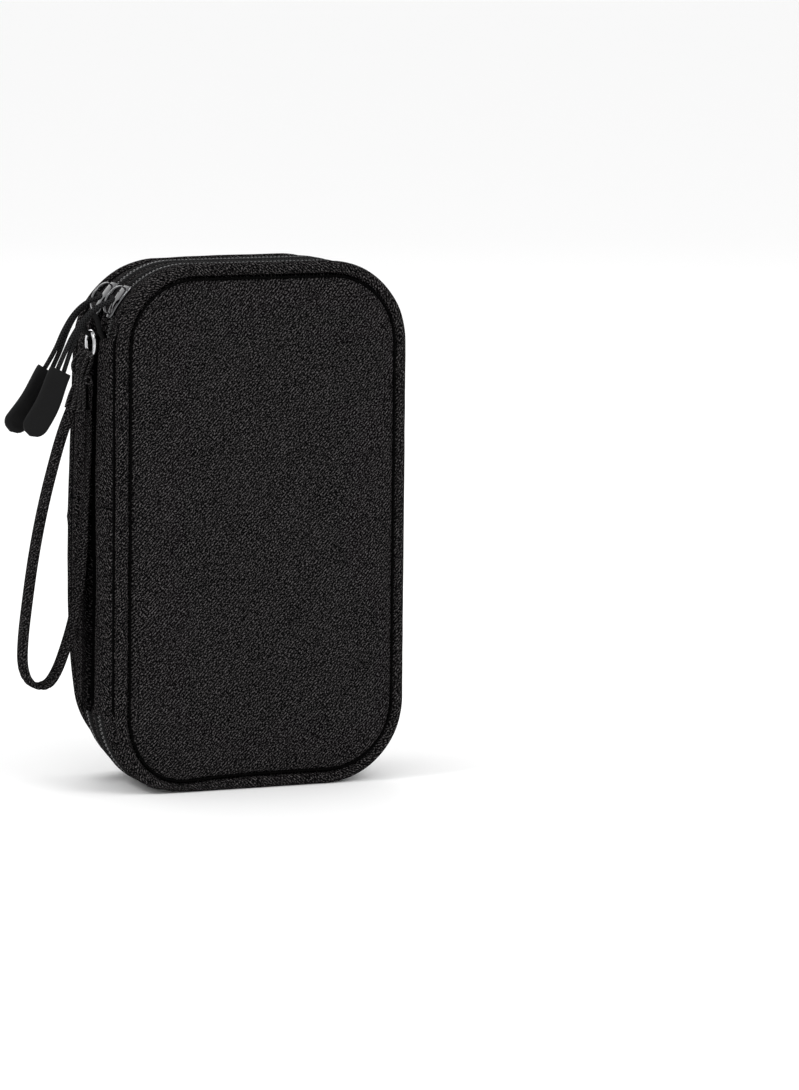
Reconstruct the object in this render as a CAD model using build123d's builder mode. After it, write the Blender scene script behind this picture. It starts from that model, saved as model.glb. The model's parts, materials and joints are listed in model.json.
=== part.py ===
from build123d import *
import math
import os

# Cable organizer pouch: three leaves hinged at a fabric spine, two zippers, a wrist strap.
# Millimetres. +Z up, the front face towards -Y, the spine and the strap at -X.
# The origin is at the middle of the footprint, on the surface that the pouch stands on.

# Driving dimensions
WIDTH = 110.0
DEPTH = 55.0
HEIGHT = 187.0
CORNER = 29.4  # radius of the outline's corners, over the piping

# Along the depth
FRONT_TEETH = -9.5  # plane where the front leaf meets the middle leaf
BACK_TEETH = 3.5
FRONT_HINGE = -6.5  # the two folds of the spine
BACK_HINGE = 8.5
HINGE_X = -54.5
PIPING_R = 2.5
PANEL_THICK = 2.9
PIPING_Y = DEPTH / 2 - 4.2

# Insets from the outline to each layer of the walls
TAPE_INSET = 0.8
TAPE_THICK = 0.5
TEETH_INSET = 1.6
TEETH_WIDTH = 1.6
WALL_INSET = 1.5
WALL_THICK = 2.0
LINING_INSET = 4.3
LINING_THICK = 0.6
RIM_INSET = 4.2
RIM_WIDTH = 5.0
PANEL_INSET = 5.3
BORDER_WIDTH = 8.8
CORE_INSET = 4.6

# The spine's cover
SPINE_LOW = 27.0
SPINE_HIGH = 160.0
RIDGE_HIGH = 170.0
RIDGE_FRONT = FRONT_HINGE + 0.7
RIDGE_BACK = BACK_HINGE - 0.7
RIDGE_INNER_X = -51.4

# Sliders, pulls and strap
SLIDER_LENGTH = 12.0
SLIDER_WIDTH = 8.0
SLIDER_CLEAR = 0.4
SLIDER_ANGLE = 147.0  # where the sliders rest on the corner, from +X towards +Z
BRIDGE_HOLE = 2.3
CORD_D = 1.9
TAB_WIDTH = 8.1
TAB_LENGTH = 24.5
TAB_THICK = 3.0
FRONT_PULL_Y = -11.0
BACK_PULL_Y = -3.3
STRAP_Y = 3.3
STRAP_WIDTH = 8.5
STRAP_THICK = 1.9
RING_R = 4.2
RING_WIRE_R = 0.8
RING_AT = (-57.4, STRAP_Y, 159.5)

FACE = dict(x_dir=(1, 0, 0), z_dir=(0, -1, 0))


def face_at(y):
    """A plane across the depth, centred on the outline, that looks towards the front."""
    return Plane(origin=(0, y, HEIGHT / 2), **FACE)


def outline(inset):
    """The pouch's rounded outline, moved inwards."""
    RectangleRounded(WIDTH - 2 * inset, HEIGHT - 2 * inset, CORNER - inset)


def slab(name, inset, y_low, y_high):
    """A flat layer that fills the outline."""
    with BuildPart() as made:
        with BuildSketch(face_at(y_high)):
            outline(inset)
        extrude(amount=y_high - y_low)
    return finish(name, made.part)


def band(inset, thick, y_low, y_high):
    """A wall that follows the outline all round."""
    with BuildPart() as made:
        with BuildSketch(face_at(y_high)):
            outline(inset)
            with Locations((0, 0)):
                RectangleRounded(
                    WIDTH - 2 * (inset + thick),
                    HEIGHT - 2 * (inset + thick),
                    CORNER - inset - thick,
                    mode=Mode.SUBTRACT,
                )
        extrude(amount=y_high - y_low)
    return made.part


def without_spine(part, low, high, x_high=-45.0, y_low=-30.0, y_high=30.0):
    """The same piece with its stretch along the spine taken out."""
    with BuildPart() as made:
        add(part)
        with Locations(((-60 + x_high) / 2, (y_low + y_high) / 2, (low + high) / 2)):
            Box(x_high + 60, y_high - y_low, high - low, mode=Mode.SUBTRACT)
    return made.part


def finish(name, part):
    """Labels a piece and writes it."""
    part.label = name
    export_step(part, f"parts/{name}.step")
    return part


def route_radii(points):
    """For each corner of a cord's route, the largest arc that its two runs allow."""
    found = []
    for a, b, c in zip(points[:-2], points[1:-1], points[2:]):
        before, after = Vector(*b) - Vector(*a), Vector(*c) - Vector(*b)
        turn = math.radians(before.get_angle(after))
        found.append(0.45 * min(before.length, after.length) / math.tan(turn / 2))
    return found


os.makedirs("parts", exist_ok=True)

# ---------------------------------------------------------------- the two outer leaves
# side is -1 for the front leaf and +1 for the back leaf.


def outer_panel(name, side):
    """The padded face, with softened edges, inside the piping."""
    with BuildPart() as made:
        top = DEPTH / 2 if side > 0 else -DEPTH / 2 + PANEL_THICK
        with BuildSketch(face_at(top)):
            outline(PANEL_INSET)
        extrude(amount=PANEL_THICK)
        rim = made.edges().group_by(Axis.Y)[-1 if side > 0 else 0]
        fillet(rim, radius=1.8)
    return finish(name, made.part)


def piping(name, side):
    """The fabric-covered cord round the panel's seam: a tube bent to the outline."""
    y = side * PIPING_Y
    half_w, half_h = WIDTH / 2 - PIPING_R, HEIGHT / 2 - PIPING_R
    with BuildPart() as made:
        with BuildLine(face_at(y)) as path:
            FilletPolyline(
                (-half_w, half_h),
                (half_w, half_h),
                (half_w, -half_h),
                (-half_w, -half_h),
                radius=CORNER - PIPING_R,
                close=True,
            )
        with BuildSketch(Plane(origin=path.line @ 0, z_dir=path.line % 0)):
            Circle(PIPING_R)
        sweep(path=path.line)
    return finish(name, made.part)


def lining(name, side, wall_end):
    """The lining: a tray with a flat floor behind the panel and a thin wall."""
    floor_y = side * (PIPING_Y - PIPING_R - 0.2)
    with BuildPart() as made:
        low, high = sorted((floor_y, wall_end))
        add(band(LINING_INSET, LINING_THICK, low, high))
        base_high = floor_y if side > 0 else floor_y + LINING_THICK
        with BuildSketch(face_at(base_high)):
            outline(LINING_INSET)
        extrude(amount=LINING_THICK)
        if side > 0:
            with Locations((-50, (wall_end + RIDGE_BACK) / 2, (SPINE_LOW + RIDGE_HIGH) / 2)):
                Box(
                    6,
                    RIDGE_BACK + 0.6 - wall_end,
                    RIDGE_HIGH - SPINE_LOW + 1,
                    mode=Mode.SUBTRACT,
                )
    return finish(name, made.part)


def side_wall(name, side, teeth_y):
    """The padded wall. At the spine it runs on as far as the fold."""
    y_end = teeth_y + side * 1.5
    root = side * (PIPING_Y - PIPING_R - 0.2)
    hinge = FRONT_HINGE - 0.7 if side < 0 else BACK_HINGE + 1.7
    low, high = sorted((y_end, root))
    with BuildPart() as made:
        add(band(WALL_INSET, WALL_THICK, low, high))
        if side < 0:
            with Locations(
                (
                    -WIDTH / 2 + WALL_INSET + WALL_THICK / 2,
                    (y_end + hinge) / 2 - 0.5,
                    (SPINE_LOW + SPINE_HIGH) / 2,
                )
            ):
                Box(WALL_THICK, hinge - y_end + 1, SPINE_HIGH - SPINE_LOW - 2)
        else:
            with Locations((-53, (y_end + hinge) / 2 - 1, (SPINE_LOW + RIDGE_HIGH) / 2)):
                Box(6, hinge - y_end + 2, RIDGE_HIGH - SPINE_LOW + 1, mode=Mode.SUBTRACT)
    return finish(name, made.part)


for leaf, side, teeth in (("front", -1, FRONT_TEETH), ("back", 1, BACK_TEETH)):
    outer_panel(f"{leaf}_panel", side)
    piping(f"{leaf}_piping", side)
    foam_low, foam_high = sorted((side * 24.4, side * 21.0))
    slab(f"{leaf}_foam_board", 5.6, foam_low, foam_high)
    side_wall(f"{leaf}_side_wall", side, teeth)
    lining(f"{leaf}_lining", side, teeth + side * 2.4)

    # The zipper's tape and its row of teeth stop at the spine's cover.
    spine = dict(low=SPINE_LOW, high=RIDGE_HIGH if side > 0 else SPINE_HIGH)
    low, high = sorted((teeth + side * 0.7, teeth + side * 6.5))
    tape = without_spine(band(TAPE_INSET, TAPE_THICK, low, high), **spine)
    finish(f"{leaf}_zip_tape", tape)
    low, high = sorted((teeth + side * 0.1, teeth + side * 1.4))
    teeth_row = without_spine(band(TEETH_INSET, TEETH_WIDTH, low, high), **spine)
    finish(f"{leaf}_zip_teeth", teeth_row)

    # The light binding that covers the seam inside the shell's mouth.
    low, high = sorted((teeth + side * 1.1, teeth + side * 2.1))
    rim = band(RIM_INSET, RIM_WIDTH, low, high)
    if side > 0:
        rim = without_spine(rim, low=SPINE_LOW, high=RIDGE_HIGH, x_high=-48.5)
    finish(f"{leaf}_rim_binding", rim)


def pocket_piece(name, y_low, thick, centre, size):
    """A flat piece of a leaf's pocket, cut to the inside of its lining."""
    with BuildPart() as made:
        with BuildSketch(face_at(y_low + thick)):
            outline(5.3)
            with Locations(centre):
                Rectangle(*size, mode=Mode.INTERSECT)
        extrude(amount=thick)
    return finish(name, made.part)


# Heights in these sketches are measured from the outline's middle.
FRONT_MESH_Y = -16.6
FRONT_TOP = 37.5  # the front pocket's mouth
FRONT_SIDE_X = -24.0  # the front pocket's open side
CROSS_Z = -22.0
HEM = 4.0
TOP_HEM = 7.5
LOW = -HEIGHT / 2
FAR_X = WIDTH / 2

pocket_piece(
    "front_pocket_mesh",
    FRONT_MESH_Y,
    0.6,
    ((FRONT_SIDE_X + FAR_X) / 2, (LOW + FRONT_TOP) / 2),
    (FAR_X - FRONT_SIDE_X, FRONT_TOP - LOW),
)
pocket_piece(
    "front_pocket_top_hem",
    FRONT_MESH_Y - 0.2,
    1.0,
    (0, FRONT_TOP + 0.1 + TOP_HEM / 2),
    (WIDTH, TOP_HEM),
)
pocket_piece(
    "front_pocket_side_hem",
    FRONT_MESH_Y - 0.2,
    1.0,
    (FRONT_SIDE_X - 0.1 - HEM / 2, (LOW + FRONT_TOP) / 2),
    (HEM, FRONT_TOP - LOW),
)
pocket_piece(
    "front_pocket_cross_strip",
    FRONT_MESH_Y + 0.7,
    0.5,
    ((FRONT_SIDE_X + FAR_X) / 2, CROSS_Z),
    (FAR_X - FRONT_SIDE_X, HEM),
)

BACK_MESH_Y = 16.0
BACK_TOP = 34.0
pocket_piece("back_pocket_mesh", BACK_MESH_Y, 0.6, (0, (LOW + BACK_TOP) / 2), (WIDTH, BACK_TOP - LOW))
pocket_piece("back_pocket_hem", BACK_MESH_Y - 0.2, 1.0, (0, BACK_TOP + 0.1 + 3), (WIDTH, 6.0))

# ---------------------------------------------------------------- the middle leaf
CORE_FRONT = FRONT_TEETH + 3.1
CORE_BACK = BACK_TEETH - 2.9
slab("middle_foam_board", CORE_INSET, CORE_FRONT, CORE_BACK)
slab("middle_front_lining", CORE_INSET, CORE_FRONT - 0.8, CORE_FRONT - 0.2)
slab("middle_back_lining", CORE_INSET, CORE_BACK + 0.2, CORE_BACK + 0.7)

frame = band(1.6, 2.7, FRONT_TEETH + 2.3, BACK_TEETH - 2.3)
finish("middle_frame", without_spine(frame, SPINE_LOW - 1, RIDGE_HIGH + 1, x_high=-50.6))

for face, teeth, inward in (("front", FRONT_TEETH, 1), ("back", BACK_TEETH, -1)):
    spine = dict(low=SPINE_LOW - 1, high=RIDGE_HIGH + 1)
    low, high = sorted((teeth + inward * 0.7, teeth + inward * 5.0))
    tape = without_spine(band(TAPE_INSET, TAPE_THICK, low, high), **spine)
    finish(f"middle_{face}_zip_tape", tape)
    low, high = sorted((teeth + inward * 0.1, teeth + inward * 1.4))
    teeth_row = without_spine(band(TEETH_INSET, TEETH_WIDTH, low, high), **spine)
    finish(f"middle_{face}_zip_teeth", teeth_row)
    # The black border that frames the lining.
    low, high = sorted((teeth + inward * 1.5, teeth + inward * 2.1))
    border = band(CORE_INSET - 0.9, BORDER_WIDTH, low, high)
    finish(f"middle_{face}_border", border)

# Three mesh pockets on the middle leaf's front, open towards the far edge.
POCKET_LOW_X = -42.0
MESH_FRONT = FRONT_TEETH + 1.4
DIVIDERS = (-26.0, 27.0)
POCKETS = (
    ("middle_pocket_low", LOW + 13.0, DIVIDERS[0] - HEM / 2 - 0.1, 8.0),
    ("middle_pocket_centre", DIVIDERS[0] + HEM / 2 + 0.1, DIVIDERS[1] - HEM / 2 - 0.1, -2.0),
    ("middle_pocket_high", DIVIDERS[1] + HEM / 2 + 0.1, -LOW - 13.0, 12.0),
)
for name, z_low, z_high, mouth in POCKETS:
    with BuildPart() as pocket:
        with BuildSketch(face_at(MESH_FRONT + 0.5)):
            outline(12.8)
            with Locations(((POCKET_LOW_X + mouth) / 2, (z_low + z_high) / 2)):
                Rectangle(mouth - POCKET_LOW_X, z_high - z_low, mode=Mode.INTERSECT)
        extrude(amount=0.5)
    finish(name, pocket.part)

with BuildPart() as pocket_hems:
    for _, z_low, z_high, mouth in POCKETS:
        with BuildSketch(face_at(MESH_FRONT + 0.5)):
            with Locations((mouth + 0.1 + 1.5, (z_low + z_high) / 2)):
                Rectangle(3.0, z_high - z_low)
        extrude(amount=0.8)
finish("middle_pocket_hems", pocket_hems.part)

with BuildPart() as dividers:
    with BuildSketch(face_at(MESH_FRONT + 0.5)):
        with Locations(*[(0, z) for z in DIVIDERS]):
            Rectangle(WIDTH - 2 * 12.8, HEM)
    extrude(amount=0.8)
finish("middle_pocket_dividers", dividers.part)

# The spine's ridge between the two folds, and the lining strips inside the folds.
with BuildPart() as spine_ridge:
    with BuildSketch(face_at(RIDGE_BACK)):
        outline(0.5)
        with Locations((-60 + (RIDGE_INNER_X + 60) / 2, (SPINE_LOW + RIDGE_HIGH) / 2 - HEIGHT / 2)):
            Rectangle(RIDGE_INNER_X + 60, RIDGE_HIGH - SPINE_LOW, mode=Mode.INTERSECT)
    extrude(amount=RIDGE_BACK - RIDGE_FRONT)
    fillet(spine_ridge.edges().filter_by(Axis.Z).group_by(Axis.X)[0], radius=1.2)
finish("spine_ridge", spine_ridge.part)

for name, y_low, y_high in (
    ("front_gusset", FRONT_HINGE - 0.6, FRONT_HINGE + 0.5),
    ("back_gusset", BACK_TEETH - 0.9, BACK_HINGE - 0.9),
):
    with BuildPart() as gusset:
        with BuildSketch(face_at(y_high)):
            with Locations((-50.65, 0)):
                Rectangle(0.4, 2 * 66.0)
        extrude(amount=y_high - y_low)
    finish(name, gusset.part)

# ---------------------------------------------------------------- sliders and pulls
ARC_X = -WIDTH / 2 + CORNER
ARC_Z = HEIGHT - CORNER
SLIDER_R = CORNER - TAPE_INSET + SLIDER_CLEAR
SLIDER_OUT = (math.cos(math.radians(SLIDER_ANGLE)), math.sin(math.radians(SLIDER_ANGLE)))


def slider_plane(y):
    """A plane across the zipper's corner: local x along the zipper, local y outwards."""
    along = (SLIDER_OUT[1], 0, -SLIDER_OUT[0])
    return Plane(origin=(ARC_X, y, ARC_Z), x_dir=along, z_dir=(0, -1, 0))


def slider(name, teeth_y):
    """The slider's upper wing, bent to the corner, with the bridge that holds the pull."""
    half = math.degrees(SLIDER_LENGTH / 2 / SLIDER_R)
    top = SLIDER_R + 1.8
    with BuildPart() as made:
        with BuildSketch(slider_plane(teeth_y + SLIDER_WIDTH / 2)):
            with BuildLine():
                inner = CenterArc((0, 0), SLIDER_R, 90 - half, 2 * half)
                outer = CenterArc((0, 0), top, 90 - half, 2 * half)
                Line(inner @ 0, outer @ 0)
                Line(inner @ 1, outer @ 1)
            make_face()
        extrude(amount=SLIDER_WIDTH)
        fillet(made.edges().filter_by(GeomType.LINE).filter_by(Axis.Y, reverse=True), radius=1.6)
        with BuildSketch(slider_plane(teeth_y + 1.1)):
            with BuildLine():
                Polyline(
                    (-4.4, top - 0.6),
                    (-3.6, top + BRIDGE_HOLE + 0.6),
                    (-2.6, top + BRIDGE_HOLE + 1.3),
                    (2.6, top + BRIDGE_HOLE + 1.3),
                    (3.6, top + BRIDGE_HOLE + 0.6),
                    (4.4, top - 0.6),
                    close=True,
                )
            make_face()
            with Locations((0, top + BRIDGE_HOLE / 2 - 0.35)):
                Rectangle(4.6, BRIDGE_HOLE + 0.5, mode=Mode.SUBTRACT)
        extrude(amount=2.2)
    return finish(name, made.part)


def bridge_hole(y):
    """The middle of the hole under a slider's bridge."""
    r = SLIDER_R + 1.8 + BRIDGE_HOLE / 2 + 0.1
    return (ARC_X + r * SLIDER_OUT[0], y, ARC_Z + r * SLIDER_OUT[1])


def pull(leaf, teeth_y, pull_y, route, tab_top, tab_lean):
    """A cord through the bridge, both ends in a moulded tab."""
    hole = bridge_hole(teeth_y)
    lean = math.radians(tab_lean)
    across = (math.cos(lean), -math.sin(lean))
    half = 1.25
    ends = [
        (tab_top[0] + s * half * across[0], pull_y, tab_top[1] + s * half * across[1])
        for s in (-1, 1)
    ]
    outer = [(x - 0.9, y - spread, z + 0.4) for x, z, y, spread in route]
    inner = [(x + 0.9, y + spread, z - 0.4) for x, z, y, spread in route]
    near = (hole[0] - 1.4 * SLIDER_OUT[1], hole[2] + 1.4 * SLIDER_OUT[0])
    points = [ends[0], *outer[::-1], (near[0], teeth_y - 2.4, near[1])]
    points += [(hole[0], teeth_y - 1.7, hole[2]), (hole[0], teeth_y + 1.7, hole[2])]
    points += [(near[0], teeth_y + 2.4, near[1]), *inner, ends[1]]
    radii = [min(r, 9.0) for r in route_radii(points)]
    print(leaf, "pull cord's radii", [round(r, 1) for r in radii])
    with BuildPart() as cord:
        with BuildLine() as path:
            FilletPolyline(*points, radius=radii)
        with BuildSketch(Plane(origin=path.line @ 0, z_dir=path.line % 0)):
            Circle(CORD_D / 2)
        sweep(path=path.line)
    length = path.wire().length
    share = cord.part.volume / (length * math.pi * CORD_D**2 / 4)
    print(leaf, "pull cord", round(length, 1), "mm, volume share", round(share, 3))
    finish(f"{leaf}_pull_cord", cord.part)

    tab_face = Plane(
        origin=(tab_top[0], pull_y + TAB_THICK / 2, tab_top[1]),
        x_dir=(across[0], 0, across[1]),
        z_dir=(0, -1, 0),
    )
    with BuildPart() as tab:
        with BuildSketch(tab_face):
            with Locations((0, -TAB_LENGTH / 2)):
                Rectangle(TAB_WIDTH, TAB_LENGTH)
            low_corners = vertices().group_by(Axis.Y)[0]
            fillet(low_corners, radius=TAB_WIDTH / 2 - 0.1)
        extrude(amount=TAB_THICK)
        faces_y = tab.faces().filter_by(Axis.Y)
        fillet(faces_y.edges(), radius=0.7)
    finish(f"{leaf}_pull_tab", tab.part)


slider("front_slider", FRONT_TEETH)
slider("back_slider", BACK_TEETH)
# Each route's corners: x, z, y midway between the two strands, and half their spread along y.
pull(
    "front",
    FRONT_TEETH,
    FRONT_PULL_Y,
    [
        (-56.8, 172.4, -9.6, 2.4),
        (-61.9, 168.4, -10.2, 1.7),
        (-66.2, 162.4, -10.8, 0.8),
        (-69.0, 155.8, FRONT_PULL_Y, 0.2),
    ],
    (-71.1, 149.9),
    25.0,
)
pull(
    "back",
    BACK_TEETH,
    BACK_PULL_Y,
    [
        (-57.0, 172.6, 3.1, 2.4),
        (-62.4, 168.6, 0.9, 1.6),
        (-66.8, 162.6, -1.8, 0.8),
        (-69.9, 155.6, BACK_PULL_Y, 0.2),
    ],
    (-72.4, 149.6),
    33.0,
)

# ---------------------------------------------------------------- wrist strap
with BuildPart() as strap_anchor:
    upper, lower = 166.6, RING_AT[2] + RING_R - RING_WIRE_R - 1.1
    nose = RING_AT[0] - 0.2
    with BuildLine(Plane(origin=(0, STRAP_Y, 0), **FACE)) as path:
        out = Line((-52.3, upper), (nose, upper))
        back = Line((nose, lower), (-52.3, lower))
        TangentArc(out @ 1, back @ 0, tangent=out % 1)
    with BuildSketch(Plane(origin=path.line @ 0, z_dir=path.line % 0)):
        Circle(0.9)
    sweep(path=path.line)
finish("strap_anchor", strap_anchor.part)

with BuildPart() as strap_ring:
    with Locations(Location(RING_AT, (0, 90, 0))):
        Torus(RING_R, RING_WIRE_R)
finish("strap_ring", strap_ring.part)

# The strap: a flat band whose width lies along Y. Its route is a loop from the stitched neck.
NECK_LOW = 144.5
NECK_HIGH = 149.5
STRAP_ROUTE = [
    (-58.5, NECK_LOW),
    (-60.6, 137.0),
    (-64.9, 127.0),
    (-69.0, 113.0),
    (-72.8, 98.0),
    (-75.9, 82.0),
    (-78.1, 66.5),
    (-79.7, 53.5),
    (-80.0, 43.0),
    (-76.8, 36.6),
    (-70.8, 36.0),
    (-67.0, 41.0),
    (-63.6, 50.0),
    (-60.6, 60.0),
    (-58.3, 73.0),
    (-57.1, 89.0),
    (-56.6, 106.0),
    (-56.5, 122.0),
    (-56.7, 135.0),
    (-56.4, NECK_LOW),
]
with BuildPart() as wrist_strap:
    radii = route_radii([(x, 0, z) for x, z in STRAP_ROUTE])
    print("wrist strap's radii", [round(r, 1) for r in radii])
    with BuildLine(Plane(origin=(0, STRAP_Y, 0), **FACE)) as path:
        FilletPolyline(*STRAP_ROUTE, radius=radii)
    with BuildSketch(Plane(origin=path.line @ 0, x_dir=(0, 1, 0), z_dir=path.line % 0)):
        Rectangle(STRAP_WIDTH, STRAP_THICK)
    sweep(path=path.line)
strap_length = path.wire().length
share = wrist_strap.part.volume / (strap_length * STRAP_WIDTH * STRAP_THICK)
print("wrist strap", round(strap_length, 1), "mm, volume share", round(share, 3))
finish("wrist_strap", wrist_strap.part)

# The neck: the strap's gathered end, doubled over the ring and stitched.
with BuildPart() as strap_neck:
    with Locations((-57.45, STRAP_Y, (NECK_LOW + NECK_HIGH) / 2)):
        Box(4.2, 6.4, NECK_HIGH - NECK_LOW)
    fillet(strap_neck.edges().filter_by(Axis.Z), radius=1.2)
    loop_r = RING_WIRE_R + 0.9
    ring_low = RING_AT[2] - RING_R
    with BuildSketch(Plane(origin=(0, STRAP_Y + 1.1, 0), **FACE)):
        with Locations((RING_AT[0], ring_low)):
            Circle(loop_r + 0.6)
        with Locations((RING_AT[0], (ring_low + NECK_HIGH) / 2 - 0.1)):
            Rectangle(2 * loop_r + 1.2, ring_low - NECK_HIGH + 0.2)
        with Locations((RING_AT[0], ring_low)):
            Circle(loop_r - 0.6, mode=Mode.SUBTRACT)
        with Locations((RING_AT[0], (ring_low + NECK_HIGH) / 2)):
            Rectangle(2 * loop_r - 1.2, ring_low - NECK_HIGH, mode=Mode.SUBTRACT)
    extrude(amount=2.2)
finish("strap_neck", strap_neck.part)
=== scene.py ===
"""The looks of a cable organizer pouch: three fabric leaves, two zippers, pulls and a wrist strap.

Lengths in this script are millimetres in the part's frame until make_mesh() turns them to metres.
"""
import json
import math
from contextlib import contextmanager

import bmesh
import bpy
import numpy as np
from mathutils import Matrix, Vector, noise


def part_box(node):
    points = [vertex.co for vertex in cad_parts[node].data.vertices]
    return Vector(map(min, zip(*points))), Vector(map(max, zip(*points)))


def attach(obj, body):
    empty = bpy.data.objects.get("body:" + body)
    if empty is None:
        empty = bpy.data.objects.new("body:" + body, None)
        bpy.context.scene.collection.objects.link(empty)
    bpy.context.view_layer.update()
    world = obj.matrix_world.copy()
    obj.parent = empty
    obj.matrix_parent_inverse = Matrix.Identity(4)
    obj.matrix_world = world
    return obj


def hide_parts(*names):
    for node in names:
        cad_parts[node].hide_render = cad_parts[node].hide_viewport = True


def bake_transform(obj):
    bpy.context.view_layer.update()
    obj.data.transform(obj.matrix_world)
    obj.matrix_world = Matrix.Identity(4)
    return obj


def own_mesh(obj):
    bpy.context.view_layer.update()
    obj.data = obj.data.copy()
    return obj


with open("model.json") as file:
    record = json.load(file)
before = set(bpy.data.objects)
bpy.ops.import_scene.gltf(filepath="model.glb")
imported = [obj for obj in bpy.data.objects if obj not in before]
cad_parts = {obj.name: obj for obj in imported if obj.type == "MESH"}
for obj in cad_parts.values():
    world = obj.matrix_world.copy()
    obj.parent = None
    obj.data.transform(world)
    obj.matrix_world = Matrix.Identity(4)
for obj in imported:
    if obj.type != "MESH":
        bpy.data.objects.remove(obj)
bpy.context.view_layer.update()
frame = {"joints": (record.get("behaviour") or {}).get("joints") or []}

MM = 0.001


def node_box(node):
    """A CAD node's lowest and highest corners, in millimetres."""
    low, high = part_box(node)
    return np.array(low) / MM, np.array(high) / MM


# ------------------------------------------------------------------ sizes, read from the frame
PIPING_LOW, PIPING_HIGH = node_box("front_piping")
WIDTH = PIPING_HIGH[0] - PIPING_LOW[0]
HEIGHT = PIPING_HIGH[2] - PIPING_LOW[2]
MID_Z = HEIGHT / 2
PIPING_Y = -(PIPING_LOW[1] + PIPING_HIGH[1]) / 2
PIPING_R = (PIPING_HIGH[1] - PIPING_LOW[1]) / 2
FACE_Y = node_box("back_panel")[1][1]
CORNER = 29.4  # the radius of the outline's corners
FRONT_TEETH = node_box("front_zip_teeth")[1][1] + 0.1
BACK_TEETH = node_box("back_zip_teeth")[0][1] - 0.1
RIDGE_LOW, RIDGE_HIGH = node_box("spine_ridge")
SPINE_LOW = RIDGE_LOW[2]
JOINTS = {j["name"]: j for j in frame["joints"]}
FRONT_FOLD = JOINTS["front_leaf_opens"]["pos_m"][1] / MM
BACK_FOLD = JOINTS["back_leaf_opens"]["pos_m"][1] / MM

HALF_X = WIDTH / 2 - CORNER
HALF_Z = HEIGHT / 2 - CORNER
ROUND = 2 * (2 * HALF_X + 2 * HALF_Z) + 2 * math.pi * CORNER

# How far the soft pouch leans along y, near its zippers: x, z, shift at the front zipper, at the back one.
LEAN = (
    (-42, 176, -3.2, -3.2),
    (-20, 187, -3.0, 0.0),
    (0, 187, -2.0, 3.0),
    (40, 180, -1.0, 3.0),
    (55, 93, 0.0, 1.0),
    (45, 10, 0.0, 1.0),
    (0, 0, 1.0, 2.0),
    (-35, 5, 4.5, 5.0),
    (-55, 30, 5.2, 5.2),
    (-55, 93, 2.8, 3.4),
    (-55, 150, -0.2, 0.2),
)
LEAN_REACH = 24.0
LEAN_END = 20.8  # past this depth the faces don't lean


def smooth(t):
    """0 below 0, 1 above 1, and a smooth rise between."""
    t = np.clip(t, 0.0, 1.0)
    return t * t * (3 - 2 * t)


def hill(across, up, reach):
    """1 at the middle, and a smooth fall over about reach."""
    return np.exp(-(across**2 + up**2) / (2 * reach**2))


def sagged(points):
    """The points with the pouch's slump: the back leaf sinks at its corners by the spine and bulges
    between them, the other leaves' foot by the spine swells, and so do the walls on the far side."""
    p = np.array(points, float)
    x, y, z = p[..., 0], p[..., 1], p[..., 2]
    back = smooth((y - 4.0) / 12.0)
    high = back * hill(x + 40.0, z - 178.0, 20.0)
    low = back * hill(x + 46.0, z - 12.0, 17.0)
    top = back * smooth((z - 150.0) / 30.0)
    bulge = back * hill(0.0, z - 78.0, 36.0) * smooth((-x - 35.0) / 15.0)
    foot = smooth((6.0 - y) / 14.0) * hill(x + 41.0, z - 5.0, 13.0)
    far = smooth((x - 36.0) / 16.0) * smooth((20.5 - np.abs(y)) / 4.5) * np.exp(-((z - 96.0) / 62.0) ** 4)
    p[..., 0] = x - 1.1 * foot + 1.4 * high + 3.0 * low - 1.6 * bulge + 2.6 * far
    p[..., 2] = z - 2.0 * foot * smooth(z / 5.0) - 0.9 * high + 2.0 * low - 1.2 * top
    return p


def leaned(points):
    """The points with the pouch's slump, and its lean added to y."""
    p = sagged(points)
    x, y, z = p[..., 0], p[..., 1], p[..., 2]
    weights = np.stack([hill(x - row[0], z - row[1], LEAN_REACH) + 1e-6 for row in LEAN])
    weights /= weights.sum(axis=0)
    front, back = (np.tensordot([row[k] for row in LEAN], weights, 1) for k in (2, 3))
    across = np.clip((y - FRONT_TEETH) / (BACK_TEETH - FRONT_TEETH), 0, 1)
    near = smooth((y + LEAN_END) / (FRONT_TEETH + LEAN_END))
    far = smooth((LEAN_END - y) / (LEAN_END - BACK_TEETH))
    shift = np.where(y < FRONT_TEETH, front * near, front * (1 - across) + back * across)
    shift = np.where(y > BACK_TEETH, back * far, shift)
    p[..., 1] = y + shift
    return p


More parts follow.
